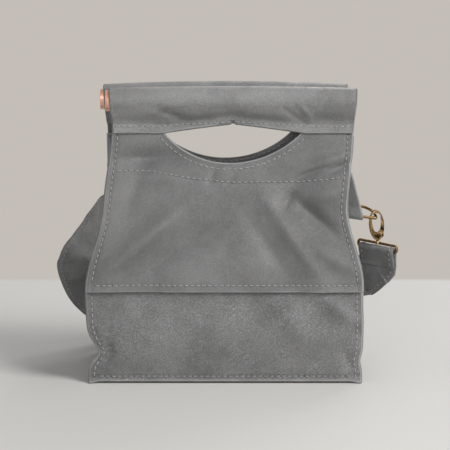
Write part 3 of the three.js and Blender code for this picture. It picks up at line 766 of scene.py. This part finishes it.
def upper_panel(side):
    tip = HOLE_HALF_WIDTH / WAIST_HALF_WIDTH
    shares = stations(-1, 1, 0.02, fine=(-1, 1, -tip, tip), fine_step=0.008, reach=0.04)
    rise = stations(0, 1, 0.017, fine=(0, 0.04, 1), fine_step=0.006, reach=0.03)
    a = shares[None, :] * WAIST_HALF_WIDTH + 0 * rise[:, None]
    z = mix(SEAM_HEIGHT, panel_top(a), rise[:, None])
    along = shares[None, :] * half_width(z)
    grid = on_side(side, along, z, upper_inner(z) + LEATHER / 2)
    edge = half_width(z) - np.abs(along)
    rows = [(z, SEAM_HEIGHT + SEAM_STITCH_UP, FURROW_REACH), (edge, SEAM_STITCH_IN, FURROW_REACH)]
    grid = furrowed(side, grid, [*rows, (z, facing_line(along), LINING_FURROW_REACH)])
    near_edge = np.clip(1 - (z - SEAM_HEIGHT) / EDGE_STAND_REACH, 0, 1)
    grid[..., 1] += side.y * EDGE_STANDS_OFF * near_edge**2
    skin = Skin().sheet(grid, (0, side.y, 0), square=(0, 0, -1))
    piece = skin.build(f"{side.name}_upper_leather", SMOOTH_SET)
    dress(piece, f"{side.name}_upper_panel", f"{side.name}_half")


# How far the sleeve's lower edge rises over the hand hole, and the notch at its middle
SKIRT_RISE = 8.2
NOTCH_HEIGHT = 2.2
# How far over that edge its stitches stand, where it is low and where it has risen
SKIRT_STITCH_UP = (5.4, 1.6)
SKIRT_RISE_SEWN = 8


def skirt_edge(a):
    """Lower edge of the sleeve's outside: straight, and drawn up to a small notch over the hand hole."""
    t = np.clip(1 - abs(a) / HOLE_HALF_WIDTH, 0, 1)
    return SKIRT_BOTTOM + SKIRT_RISE * t**0.85 + NOTCH_HEIGHT * hump(a, 0, 1.3)


def sleeve_path(inside_z, outside_z, steps):
    """Depths and heights round a sleeve, from one inside the mouth, over the tube, to one outside."""
    wrap = TUBE_OUTER_R + GAP + LEATHER / 2
    drop = TUBE_HEIGHT - PANEL_TOP

    def turn_at(across):
        reach = math.hypot(across, drop)
        return math.acos(wrap / reach) - math.atan2(drop, across)

    first = turn_at(TUBE_HALF_SPACING - lining_middle(PANEL_TOP))
    last = math.pi - turn_at(skirt_middle(PANEL_TOP) - TUBE_HALF_SPACING)
    turns = np.linspace(first, last, 40)
    arc = np.stack([TUBE_HALF_SPACING - wrap * np.cos(turns), TUBE_HEIGHT + wrap * np.sin(turns)], -1)
    low = SKIRT_BOTTOM - 6
    inner = [[lining_middle(low), low], [lining_middle(PANEL_TOP), PANEL_TOP]]
    outer = [[skirt_middle(PANEL_TOP), PANEL_TOP], [skirt_middle(low), low]]
    path = np.concatenate([inner, arc, outer])
    run = run_along(path)
    crest = int(np.argmax(path[:, 1]))
    begin = np.interp(inside_z, path[: crest + 1, 1], run[: crest + 1])
    end = np.interp(outside_z, path[crest:, 1][::-1], run[crest:][::-1])
    return between(mix(begin, end, steps), run, path).T


# Creases on the sleeves, placed as the folds of the panels are
SLEEVE_CREASES = {
    "front": [
        (-10, 220, 0, 62, 4.5, -1.4),
        (-52, 226, -22, 14, 3.4, -2.8),
        (-22, 222.5, 8, 22, 3.4, -2.6),
        (24, 222, -6, 26, 3.6, -2.4),
        (54, 224, -35, 12, 2.6, -1.6),
        (62, 229, -52, 9, 2.2, 1.3),
        (-64, 231, 25, 14, 4.0, 1.5),
        (84, 221.5, 0, 18, 4.5, -1.8),
        (-84, 221, 0, 16, 4.0, -1.4),
    ],
    "back": [(30, 224, 12, 24, 4.0, -1.8), (-40, 223, -10, 24, 4.0, -2.0), (70, 226, 30, 12, 3.0, 1.0)],
}
# How far each sleeve stands off its tube along the top: at its ends, and more in its middle
SLEEVE_CROWN = {"front": (-0.2, 1.7), "back": (2.0, 2.8)}


def crease_depth(creases, a, z):
    total = np.zeros(np.broadcast(a, z).shape)
    for crease in creases:
        u, v = fold_place(crease, a, z)
        total = total + crease[-1] * np.exp(-u * u - v * v)
    return total


def sleeve_grid(side):
    """The sleeve's leather: rows from inside the mouth over the tube to the skirt's edge."""
    shares = stations(-1, 1, 0.02, fine=(-1, 0, 1), fine_step=0.005, reach=0.03)
    stretches = ((0, 0.2, 7), (0.2, 0.72, 25), (0.72, 1, 19))
    steps = np.concatenate([np.linspace(*ends, n + 1)[:-1] for *ends, n in stretches] + [[1]])
    outside = rising(steps, 0.5, 0.7)
    slack, rise = SLEEVE_CROWN[side.name]
    grid = np.zeros((len(steps), len(shares), 3))
    for k, share in enumerate(shares):
        here = share * WAIST_HALF_WIDTH
        edge = float(skirt_edge(here))
        inside = edge - 0.8 if abs(here) < HOLE_HALF_WIDTH else PANEL_TOP
        depth, z = sleeve_path(inside, edge, steps)
        widening = np.clip((z - SKIRT_BOTTOM) / 36, 0, 1)
        along = share * mix(WAIST_HALF_WIDTH, SLEEVE_HALF_LENGTH, widening)
        crown = (slack + rise * (1 - share**2)) * rising(z, TUBE_HEIGHT, TUBE_HEIGHT + TUBE_OUTER_R)
        depth = depth + outside * crease_depth(SLEEVE_CREASES[side.name], along, z)
        x = lean(side, np.minimum(z, PANEL_TOP)) + along
        grid[:, k] = np.stack([x, side.y * depth, z + crown], -1)
    return grid


def facing(side):
    """Lining behind the hand hole and the sleeve over the tube, as one piece of leather."""
    shares = stations(-1, 1, 0.024, fine=(-0.7, 0.7), fine_step=0.01, reach=0.05)
    narrow = WAIST_HALF_WIDTH - SEAM_FLANGE - FACING_INSET
    a = shares[None, :] * narrow
    rise = np.linspace(0, 1, 26)[:, None]
    top = np.minimum(panel_top(a), PANEL_TOP - 0.2)
    z = mix(FACING_BOTTOM, top, rise)
    lining = on_side(side, a + 0 * z, z, lining_middle(z))
    sleeve = sleeve_grid(side)
    skin = Skin()
    skin.sheet(lining, (0, -side.y, 0))
    tube = np.array([0, side.y * TUBE_HALF_SPACING, TUBE_HEIGHT])
    from_tube = (sleeve - tube) * (0, 1, 1)
    skin.sheet(sleeve, from_tube)
    # The sleeve and lining take the lighter sleeve leather, whose extra lightness is painted light.
    piece = skin.build(f"{side.name}_sleeve_leather", SLEEVE_SET_PAINTED_LIGHT)
    dress(piece, f"{side.name}_facing", f"{side.name}_half")
    return sleeve


def panel_stitching(side, sleeve):
    """Rows along the side seams, the base, the seam, the lining's edge, the hand hole and the skirt."""
    bag, half = Stitches(), Stitches()
    for hand in (-1, 1):
        z = np.linspace(3, SEAM_HEIGHT - 1, 60)
        bag.row(*line_on_side(side, hand * (half_width(z) - SEAM_STITCH_IN), z, lower_outer))
        z = np.linspace(SEAM_HEIGHT + 7, SKIRT_BOTTOM - 1, 90)
        half.row(*line_on_side(side, hand * (half_width(z) - SEAM_STITCH_IN), z, upper_outer))
    a = np.linspace(-BASE_HALF_WIDTH + 6, BASE_HALF_WIDTH - 6, 120)
    bag.row(*line_on_side(side, a, BASE_STITCH_HEIGHT, lower_outer))
    reach = SEAM_HALF_WIDTH - SEAM_STITCH_IN - 1
    a = np.linspace(-reach, reach, 120)
    half.row(*line_on_side(side, a, SEAM_HEIGHT + SEAM_STITCH_UP, upper_outer))
    reach = WAIST_HALF_WIDTH - SEAM_STITCH_IN - 1
    a = np.linspace(-reach, reach, 120)
    half.row(*line_on_side(side, a, facing_line(a), upper_outer))
    turn = np.linspace(-1, 1, 90)
    radius = (HOLE_HALF_WIDTH**2 + HOLE_DROP**2) / (2 * HOLE_DROP)
    fan = turn * math.asin(HOLE_HALF_WIDTH / radius) * HOLE_STITCHED
    outer = radius + HOLE_STITCH_OUT[side.name]
    a = outer * np.sin(fan)
    z = HOLE_TIP_HEIGHT + (radius - HOLE_DROP) - outer * np.cos(fan)
    below = z < SKIRT_BOTTOM - 0.6
    half.row(*line_on_side(side, a[below], z[below], upper_outer))
    half.row(*line_on_side(side, a[below], z[below], lining_inner, inward=True))
    skirt_stitching(half, sleeve, side)
    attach(bag.build(f"{side.name}_lower_stitching"), "bag")
    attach(half.build(f"{side.name}_upper_stitching"), f"{side.name}_half")


def skirt_stitching(stitches, sleeve, side):
    """The row just above the sleeve's lower edge, closer to the edge over the hand hole."""
    normal = grid_normals(sleeve)
    normal = normal * np.where(normal[..., 1:2] * side.y > 0, 1, -1)
    surface = sleeve + normal * LEATHER / 2
    searched = 18
    line, normals = [], []
    for k in range(2, sleeve.shape[1] - 2):
        lowest = sleeve[-1, k, 2]
        lift = mix(*SKIRT_STITCH_UP, rising(lowest, SKIRT_BOTTOM, SKIRT_BOTTOM + SKIRT_RISE_SEWN))
        heights = surface[::-1, k, 2][:searched]
        for gathered, grid in ((line, surface), (normals, normal)):
            gathered.append(between(lowest + lift, heights, grid[::-1, k][:searched]))
    stitches.row(line, normals)


# Gussets: how far the lower ones dip in, and the share of their width that rounds into the fold
GUSSET_DIP = 2.5
FOLD_SHARE = 0.14
# How far from a flange's corner its round begins, on the flange and on the wall
CORNER_OUT, CORNER_IN = 2.5, 6.0
# Waves of the upper ones
GUSSET_WAVE = 0.8
WAVE_LENGTH = 21.0


def gusset_path(side, hand, z, steps):
    """One half of a gusset at a height: from its flange's raw edge to the fold in the middle."""
    depth = float(flange_depth(z))
    width = float(half_width(z))
    base_flat = float(flange_depth(np.float64(SEAM_HEIGHT)))
    flat = mix(base_flat, GUSSET_TOP_HALF_WIDTH, (z - SEAM_HEIGHT) / (GUSSET_TOP - SEAM_HEIGHT))
    tuck = 0.0 if z <= SEAM_HEIGHT else math.sqrt(max(flat**2 - depth**2, 0))
    middle = float(lean(FRONT, z) + lean(BACK, z)) / 2
    at_edge = on_side(side, hand * (width + FLANGE_SHOWS), z, depth)
    corner = on_side(side, hand * (width - SEAM_FLANGE), z, depth)
    dip = GUSSET_DIP * math.sin(math.pi * z / SEAM_HEIGHT) if z <= SEAM_HEIGHT else 0.0
    fold = np.array([middle + hand * (width - SEAM_FLANGE - tuck - dip), 0.0, z])
    wall = fold - corner
    reach = min(CORNER_IN, np.linalg.norm(wall) * 0.3)
    round_in = corner + unit(wall) * reach
    across = corner - at_edge
    round_out = corner - unit(across) * min(CORNER_OUT, np.linalg.norm(across) * 0.5)
    before_fold = mix(fold, corner, FOLD_SHARE)
    crest = fold + np.array([hand * tuck * FOLD_SHARE * 0.55, 0, 0])
    pieces = [
        [mix(at_edge, round_out, t) for t in np.linspace(0, 1, 4)[:-1]],
        [bezier(round_out, corner, round_in, t) for t in np.linspace(0, 1, 6)[:-1]],
        [mix(round_in, before_fold, t) for t in np.linspace(0, 1, steps)[:-1]],
        [bezier(before_fold, mix(before_fold, fold, 0.55), crest, t) for t in np.linspace(0, 1, 7)],
    ]
    return np.array([p for piece in pieces for p in piece])


def bezier(a, b, c, t):
    return (1 - t) ** 2 * a + 2 * t * (1 - t) * b + t * t * c


def gusset(hand, name):
    """One side of the bag: a lower piece, and an upper piece in two halves that meet at the fold."""
    levels = np.linspace(FOOT, SEAM_HEIGHT, 28)
    front, back = (np.array([gusset_path(side, hand, z, 14) for z in levels]) for side in SIDES)
    grid = np.concatenate([front, back[:, -2::-1]], axis=1)
    piece = Skin().sheet(grid, (hand, 0, 0)).build(f"{name}_lower_gusset_leather", ROUGH_SET)
    dress(piece, f"{name}_lower_gusset", "bag")
    levels = stations(SEAM_HEIGHT + GAP, GUSSET_TOP, 3.0)
    for side in SIDES:
        grid = np.array([gusset_path(side, hand, z, 18) for z in levels])
        x, y, z = np.moveaxis(grid, -1, 0)
        wave = GUSSET_WAVE * np.sin((z - SEAM_HEIGHT) / WAVE_LENGTH) * rising(np.abs(y), 2, 10)
        grid[..., 0] -= hand * wave * rising(half_width(z) - np.abs(x), 10, 20)
        skin = Skin().sheet(grid, (hand, 0, 0))
        piece = skin.build(f"{name}_{side.name}_gusset_leather", SMOOTH_SET)
        if side is FRONT:
            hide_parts(f"{name}_upper_gusset")
        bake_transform(piece)


# Radius of the base's turned-up edges
BASE_BEND = 3.0


def base():
    """The tray that closes the bottom: its long edges turn up inside the front and back."""
    outer = float(lower_outer(np.float64(BASE_UPTURN))) - LEATHER - GAP - LEATHER / 2
    bend = BASE_BEND
    turn = np.linspace(0, math.pi / 2, 6)
    middle = LEATHER / 2
    half = [(outer, BASE_UPTURN), (outer, BASE_UPTURN * 0.7)]
    half += [(outer - bend + bend * math.cos(t), middle + bend - bend * math.sin(t)) for t in turn]
    across = np.linspace(-outer + bend, outer - bend, 22)[1:-1]
    profile = [(-y, z) for y, z in half] + [(y, middle) for y in across] + half[::-1]
    reach = BASE_HALF_WIDTH - SEAM_FLANGE - LEATHER / 2 - GAP
    stops = np.linspace(-reach, reach, 60)
    grid = np.array([[(x, y, z) for y, z in profile] for x in stops])
    piece = Skin().sheet(grid, (0, 0, -1)).build("base_leather", ROUGH_SET)
    dress(piece, "base_panel", "bag")


# Ring tabs, and where the hardware hangs
HARDWARE = {
    "left": {
        "at": (-99.7, 6.55, 180),
        "turn": -90,
        "roll": 0,
        "tab_length": 24,
        "tab_slant": 0,
        "tab_taper": 0,
        "tab_lean": 0,
        "ring_tilt": 22,
        "hook_lean": 0,
        "loop_turn": 168,
        "loop_tilt": -34,
    },
    "right": {
        "at": (117.19, 36.4, 131.2),
        "turn": 0,
        "roll": 8,
        "tab_length": 40,
        "tab_slant": -0.36,
        "tab_taper": 0.06,
        "tab_lean": 18.6,
        "ring_tilt": 22,
        "hook_lean": -4,
        "loop_turn": -40,
        "loop_tilt": 7,
    },
}
# Length of a tab's leather that goes round the ring's bar
RING_SLACK = RING_HALF_BAR - RING_CORNER - TAB_WIDTH / 2 - GAP


def turned(degrees, axis):
    return Matrix.Rotation(math.radians(degrees), 4, axis)


def holder_matrix(h):
    return Matrix.Translation(h["at"]) @ turned(h["turn"], "Z") @ turned(h["roll"], "Y")


def ring_matrix(h):
    return holder_matrix(h) @ Matrix.Translation((RING_SLACK, 0, 0)) @ turned(h["ring_tilt"] - 90, "X")


def loop_matrix(h):
    """Places the strap loop: its bar hangs from the swivel under the hook, which hangs on the ring."""
    wire_y = RING_WIRE_R + GAP + HOOK_DEPTH / 2
    wire_z = wire_y * math.tan(math.radians(h["ring_tilt"]))
    claw = Matrix.Translation((RING_SLACK + RING_HALF_BAR + GAP, wire_y, wire_z))
    hook_drop = RING_WIRE_R + CLAW_SLACK - EYE_TOP
    swivel_drop = POST_INSERT - GAP - POST_LENGTH - HOOK_HALF_LENGTH
    drop = Matrix.Translation((0, 0, hook_drop + swivel_drop))
    hook = claw @ turned(h["hook_lean"] - h["roll"], "Y") @ drop
    to_bar = Matrix.Translation((0, 0, -LOOP_HEIGHT))
    loop = turned(h["loop_turn"], "Z") @ turned(h["loop_tilt"], "Y") @ to_bar
    return holder_matrix(h) @ hook @ loop


def placed(matrix, points):
    m = np.array(matrix)
    return np.asarray(points, float) @ m[:3, :3].T + m[:3, 3]


def doubled_strip(wrap, pressed, length, turns=10, run=8):
    """Across and along places of a strip doubled round a bar: down one side, under it, up the other."""
    reach = FOLD_REACH * wrap
    bend = [(mix(wrap, pressed, smooth(t)), mix(0, reach, t)) for t in np.linspace(0, 1, 6)[1:-1]]
    rise = bend + [(pressed, mix(reach, length, t)) for t in np.linspace(0, 1, run)]
    under = [(wrap * math.cos(t), wrap * math.sin(t)) for t in np.linspace(math.pi, 2 * math.pi, turns)]
    return [(-x, z) for x, z in reversed(rise)] + under + rise


def ring_tab(name):
    h = HARDWARE[name]
    wrap = RING_WIRE_R + GAP + LEATHER / 2
    pressed = (LEATHER + GAP) / 2
    y, z = np.array(doubled_strip(wrap, pressed, h["tab_length"])).T[..., None]
    above = np.maximum(z, 0)
    x = np.linspace(-1, 1, 9) * (TAB_WIDTH / 2 - h["tab_taper"] * above) + h["tab_slant"] * above
    flat = np.stack(np.broadcast_arrays(x, y, z), -1)
    place = holder_matrix(h) @ turned(h["tab_lean"], "X")
    grid = placed(place, flat)
    from_bar = grid - placed(place, flat * (1, 0, 1) * (1, 1, 0.5))
    # The tab takes the lighter sleeve leather, whose extra lightness is painted light.
    piece = Skin().sheet(grid, from_bar).build(f"{name}_tab_leather", SLEEVE_SET_PAINTED_LIGHT)
    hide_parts(f"{name}_tab")
    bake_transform(piece)


# Strap: the route behind the bag, on edge on the floor, with the way its width points
STRAP_FLOOR = STRAP_WIDTH / 2 + 2 * GAP
STRAP_FOLDS = [
    *((-60, 128), (0, 130), (62, 130), (78, 126), (84, 117), (78, 108), (62, 104)),
    *((0, 105), (-54, 104), (-70, 100), (-76, 91), (-70, 82), (-54, 78)),
]
STRAP_ROUTE = [
    (-108.3, 9.4, 134.4, -0.22, 0.64, 0.73),
    (-114.8, 18.7, 118.9, -0.58, 0.57, 0.58),
    (-124.3, 32.4, 100.8, -0.85, 0.48, 0.22),
    (-135, 50.8, 87.2, -0.79, 0.4, -0.46),
    (-134.6, 69.4, 70.6, -0.68, 0.2, -0.7),
    (-127.7, 86, 51.5, -0.46, 0, -0.89),
    (-98, 119, STRAP_FLOOR + 4, -0.05, 0, -1),
    (-80, 124, STRAP_FLOOR + 0.8, 0, 0, -1),
    *((x, y, STRAP_FLOOR, 0, 0, -1) for x, y in STRAP_FOLDS),
    (-10, 78, STRAP_FLOOR + 3, 0, 0, -1),
    (40, 80, 38, 0.05, 0, -1),
    (85, 80, 60, 0.15, -0.02, -1),
    (123.7, 67.8, 69.7, 0.3, -0.1, -0.95),
    (127.8, 58.1, 71.3, 0.6, -0.45, -0.66),
]
STRAP_STITCH_IN = 3.2


def centripetal(points, steps):
    """A smooth curve through the points, whose pace follows the root of the distance between them."""
    points = np.asarray(points, float)
    ends = [2 * points[0] - points[1], *points, 2 * points[-1] - points[-2]]
    curve = []
    for i in range(len(points) - 1):
        p0, p1, p2, p3 = ends[i : i + 4]
        d0, d1, d2 = (max(np.linalg.norm(b - a), 1e-4) ** 0.5 for a, b in ((p0, p1), (p1, p2), (p2, p3)))
        m1 = ((p1 - p0) / d0 - (p2 - p0) / (d0 + d1) + (p2 - p1) / d1) * d1
        m2 = ((p2 - p1) / d1 - (p3 - p1) / (d1 + d2) + (p3 - p2) / d2) * d1
        for t in np.arange(steps) / steps:
            t2, t3 = t * t, t * t * t
            leaving = (2 * t3 - 3 * t2 + 1) * p1 + (t3 - 2 * t2 + t) * m1
            curve.append(leaving + (3 * t2 - 2 * t3) * p2 + (t3 - t2) * m2)
    return np.array([*curve, points[-1]])


def square_to(direction, vectors):
    """Unit vectors square to a direction, from vectors that may lean along it."""
    return unit(vectors - direction * np.sum(vectors * direction, axis=-1, keepdims=True))


def strap_end(name, towards, tail):
    """The strap's end doubled round its loop's bar, from the tail on a given side to where it leaves."""
    place = np.array(loop_matrix(HARDWARE[name]))
    bar, across = place[:3, 3], unit(place[:3, 0])
    along = square_to(across, np.array(towards[:3]) - bar)
    side = np.cross(across, along)
    wrap = LOOP_WIRE_R + GAP + STRAP_LEATHER / 2
    pressed = (STRAP_LEATHER + GAP) / 2
    path = [bar - tail * side * n + along * d for n, d in doubled_strip(wrap, pressed, STRAP_FOLD, run=3)]
    return np.array(path), across


# Buckles across the strap's right end: how far from the bar, reach, how far out
STRAP_BUCKLES = [(12, 6.0, 0.9), (25, 7.0, -0.7), (38, 6.5, 0.9)]
# How far they slant, and how far they part the two layers
BUCKLE_SLANT = 0.5
LAYERS_PART = 0.55
# Where they begin and end, and how far they are looked for
BUCKLES_BEGIN, BUCKLES_END = (5, 11), (46, 58)
BUCKLES_WITHIN = 75
# The strap's last stretch, whose points stand closer together
BUCKLED_RUN = 120
BUCKLED_STEP = 2.0


def buckled(points, bar, across, away):
    """Points of the strap's right end, moved out where it buckles."""
    off = points - bar
    down = off @ away
    fade = rising(down, *BUCKLES_BEGIN) * (1 - rising(down, *BUCKLES_END))
    fade = fade * (np.linalg.norm(off, axis=-1) < BUCKLES_WITHIN)
    slanted = down - BUCKLE_SLANT * (off @ across)
    lift = sum(out * hump(slanted, at, reach) for at, reach, out in STRAP_BUCKLES)
    side = np.cross(across, away)
    apart = LAYERS_PART * np.tanh(off @ side)
    return points + side * (fade * (lift + apart))[..., None]


def strap():
    first, first_across = strap_end("left", STRAP_ROUTE[0], 1)
    last, last_across = strap_end("right", STRAP_ROUTE[-1], -1)
    last = last[::-1]
    steps = 8
    knots = [first[-1], *(np.array(r[:3]) for r in STRAP_ROUTE), last[0]]
    turns = [first_across, *(np.array(r[3:], float) for r in STRAP_ROUTE), last_across]
    middle = centripetal(knots, steps)
    widths = [first_across] * (len(first) - 1)
    for i in range(len(middle)):
        k = min(i // steps, len(turns) - 2)
        widths.append(mix(turns[k], turns[k + 1], smooth((i - k * steps) / steps)))
    widths += [last_across] * (len(last) - 1)
    line = np.concatenate([first[:-1], middle, last[1:]])
    run = run_along(line)
    closer = np.arange(run[-1] - BUCKLED_RUN, run[-1], BUCKLED_STEP)
    marks = np.unique(np.round(np.concatenate([run, closer]), 1))
    line, across = (between(marks, run, np.array(points)) for points in (line, widths))
    along = unit(np.gradient(line, axis=0))
    across = square_to(along, across)
    bar = np.array(loop_matrix(HARDWARE["right"]))[:3, 3]
    away = square_to(last_across, last[0] - bar)
    shares = np.linspace(-1, 1, 13)
    grid = line[:, None, :] + across[:, None, :] * shares[None, :, None] * STRAP_WIDTH / 2
    grid = buckled(grid, bar, last_across, away)
    piece = Skin().sheet(grid, 1, STRAP_LEATHER).build("strap_leather", STRAP_SET)
    dress(piece, "strap", "bag")
    normal = np.cross(across, along)
    stitches = Stitches()
    for hand in (-1, 1):
        rail = line + across * hand * (STRAP_WIDTH / 2 - STRAP_STITCH_IN)
        rail = buckled(rail, bar, last_across, away)
        for face in (-1, 1):
            stitches.row(rail + normal * face * STRAP_LEATHER / 2, normal * face)
    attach(stitches.build("strap_stitching"), "bag")


# Metal
def arc(x, z, radius, start, end, steps=8):
    return [(x + radius * math.cos(t), z + radius * math.sin(t)) for t in np.linspace(start, end, steps)]


def ring_path():
    """A D-ring's wire: its bar at the origin along X and its bow towards +Z."""
    straight = RING_HALF_BAR - RING_CORNER
    bow = [(RING_HALF_BAR * math.cos(t), RING_CORNER + (RING_DEPTH - RING_CORNER) * math.sin(t))
           for t in np.linspace(0, math.pi, 40)]
    right = arc(straight, RING_CORNER, RING_CORNER, -math.pi / 2, 0)
    left = arc(-straight, RING_CORNER, RING_CORNER, math.pi, 1.5 * math.pi)
    return right[:-1] + bow + left[1:]


def loop_path():
    """A strap loop's wire: a long rounded frame, its bar at the origin along X."""
    inner = STRAP_WIDTH / 2 + STRAP_EDGE_CLEAR
    top = LOOP_HEIGHT - LOOP_CORNER
    corners = ((inner, LOOP_CORNER), (inner, top), (-inner, top), (-inner, LOOP_CORNER))
    path = []
    for k, corner in enumerate(corners):
        path += arc(*corner, LOOP_CORNER, (k - 1) * math.pi / 2, k * math.pi / 2)
    return path


def wire_rings(path, radius, sides=12):
    """Rings of points round a closed wire that lies in its own XZ plane."""
    line = np.array([(x, 0, z) for x, z in path])
    along = unit(np.roll(line, -1, 0) - np.roll(line, 1, 0))
    across = np.cross(along, [0, 1, 0])
    turn = np.linspace(0, 2 * math.pi, sides, endpoint=False)
    round_wire = np.cos(turn)[:, None] * across[:, None, :] + np.sin(turn)[:, None] * np.array([0, 1, 0])
    return line[:, None, :] + radius * round_wire


# The swivel post's collar from below: radii and heights
COLLAR = [(0.01, -1.2), (2.0, -1.1), (2.3, -0.2), (2.0, 0.9), (POST_R, 1.4)]


def post_rings(tilt, sides=16):
    """The swivel post and its collar, on top of a strap loop and in line with the hook."""
    profile = [*COLLAR, (POST_R, POST_LENGTH), (0.01, POST_LENGTH)]
    turn = np.linspace(0, 2 * math.pi, sides, endpoint=False)
    rings = np.array([[(r * math.cos(t), r * math.sin(t), z) for t in turn] for r, z in profile])
    return placed(Matrix.Translation((0, 0, LOOP_HEIGHT)) @ turned(-tilt, "Y"), rings)


def wire_piece(name, parts, matrix, body):
    """One piece of wire or turned metal from rings of points, each with whether it closes on itself."""
    points, faces = [], []
    for rings, closed in parts:
        faces += tube_faces(rings.shape[0], rings.shape[1], sum(len(p) for p in points), closed)
        points.append(rings.reshape(-1, 3))
    piece = new_object(f"{name}_wire", placed(matrix, np.concatenate(points)), faces, [WIRE_BRASS])
    dress(piece, name, body)


# How far the edges of each part of a hook, and of a tube, are rounded
HOOK_ROUNDS = {"body": 0.7, "gate": 0.4, "rivet": 0.25}
TUBE_ROUND = 0.3
WELD_WITHIN = 0.02
# Edges sharper than this many degrees are rounded
SHARP_EDGE = 38


def soft_edges(name, material, width):
    """Gives a solid from the CAD its metal and its rounded edges."""
    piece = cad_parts[name]
    piece.data.materials.clear()
    piece.data.materials.append(material)
    piece.data.polygons.foreach_set("use_smooth", [True] * len(piece.data.polygons))
    weld = piece.modifiers.new("weld", "WELD")
    weld.merge_threshold = WELD_WITHIN * MM
    bevel = piece.modifiers.new("soft_edges", "BEVEL")
    bevel.width = width * MM
    bevel.segments = 3
    bevel.limit_method = "ANGLE"
    bevel.angle_limit = math.radians(SHARP_EDGE)
    bevel.harden_normals = True


def metal():
    for name in ("left", "right"):
        h = HARDWARE[name]
        ring = [(wire_rings(ring_path(), RING_WIRE_R), True)]
        wire_piece(f"{name}_ring", ring, ring_matrix(h), f"{name}_ring")
        loop = [(wire_rings(loop_path(), LOOP_WIRE_R), True), (post_rings(h["loop_tilt"]), False)]
        wire_piece(f"{name}_strap_loop", loop, loop_matrix(h), "bag")
        for part, width in HOOK_ROUNDS.items():
            soft_edges(f"{name}_hook_{part}", CAST_BRASS[name], width)
    for side in SIDES:
        soft_edges(f"{side.name}_tube", COPPER, TUBE_ROUND)


# Floor, light and camera
WALL_COLOUR = (0.55, 0.515, 0.475, 1)
ROOM_LIGHT = 0.36
PALE_FLOOR = ((0.6, 0.592, 0.572, 1), (0.67, 0.662, 0.642, 1))
BLACK = (0, 0, 0, 1)
FLOOR_REACH = 200000
# Where the floor ends and the wall begins, and how soft that line is
WALL_LINE = 445
WALL_BLUR = 12
# The camera fitted to the photo, in degrees and metres
CAMERA_ANGLE = 16.679
CAMERA_TILT = 82
CAMERA_PLACE = (0, -1.3369, 0.3154)


def floor():
    corners = [(x * FLOOR_REACH, y * FLOOR_REACH, 0) for x, y in ((-1, -1), (1, -1), (1, 1), (-1, 1))]
    made, tree, shader = material_of("pale_floor")
    place = node(tree, "ShaderNodeNewGeometry").outputs["Position"]
    apart = node(tree, "ShaderNodeSeparateXYZ", {"Vector": place})
    far = ramp(tree, apart.outputs["Y"], (WALL_LINE - WALL_BLUR) * MM, (WALL_LINE + WALL_BLUR) * MM)
    pale = mix_colours(tree, noise(tree, place, 2.2), *PALE_FLOOR)
    tree.links.new(mix_colours(tree, far, pale, BLACK), shader.inputs["Base Color"])
    tree.links.new(mix_colours(tree, far, BLACK, WALL_COLOUR), shader.inputs["Emission Color"])
    shader.inputs["Emission Strength"].default_value = 1.0
    shader.inputs["Roughness"].default_value = 0.9
    shader.inputs["Specular IOR Level"].default_value = 0.0
    ground = new_object("floor", corners, [[0, 1, 2, 3]], [made], smooth_faces=False)
    ground.location.z = -0.0002


def area_light(name, place, aim, size, power, colour=(1, 1, 1)):
    light = bpy.data.lights.new(name, "AREA")
    light.shape = "RECTANGLE"
    light.size, light.size_y = size
    light.energy = power
    light.color = colour
    lamp = linked(name, light)
    lamp.location = place
    lamp.rotation_euler = (Vector(aim) - Vector(place)).to_track_quat("-Z", "Y").to_euler()


def lights():
    aim = (0, 0, 0.12)
    area_light("window", (1.65, -1.2, 1.85), aim, (1.0, 1.2), 54, (1.0, 0.99, 0.975))
    area_light("front", (-0.3, -2.3, 0.7), aim, (1.6, 1.0), 13)
    area_light("rear", (0.7, 1.7, 1.4), aim, (1.4, 1.2), 16)
    world = bpy.data.worlds.new("room")
    bpy.context.scene.world = world
    world.use_nodes = True
    tree = world.node_tree
    path = node(tree, "ShaderNodeLightPath").outputs
    seen = math_node(tree, "MAXIMUM", path["Is Camera Ray"], path["Is Glossy Ray"])
    seen = math_node(tree, "MAXIMUM", seen, path["Is Transmission Ray"])
    wall = tuple(c / ROOM_LIGHT for c in WALL_COLOUR[:3])
    colour = mix_colours(tree, seen, (1, 1, 1, 1), (*wall, 1))
    background = tree.nodes["Background"]
    tree.links.new(colour, background.inputs["Color"])
    background.inputs["Strength"].default_value = ROOM_LIGHT


def camera():
    made = bpy.data.cameras.new("camera")
    made.sensor_fit = "HORIZONTAL"
    made.angle = math.radians(CAMERA_ANGLE)
    obj = linked("camera", made)
    obj.location = CAMERA_PLACE
    obj.rotation_euler = (math.radians(CAMERA_TILT), 0, 0)
    bpy.context.scene.camera = obj


def main():
    bpy.context.scene.view_settings.view_transform = "Standard"
    camera()
    floor()
    lights()
    strap()
    base()
    for side in SIDES:
        lower_panel(side)
        upper_panel(side)
        panel_stitching(side, facing(side))
    gusset(-1, "left")
    gusset(1, "right")
    for name in HARDWARE:
        ring_tab(name)
    metal()


main()
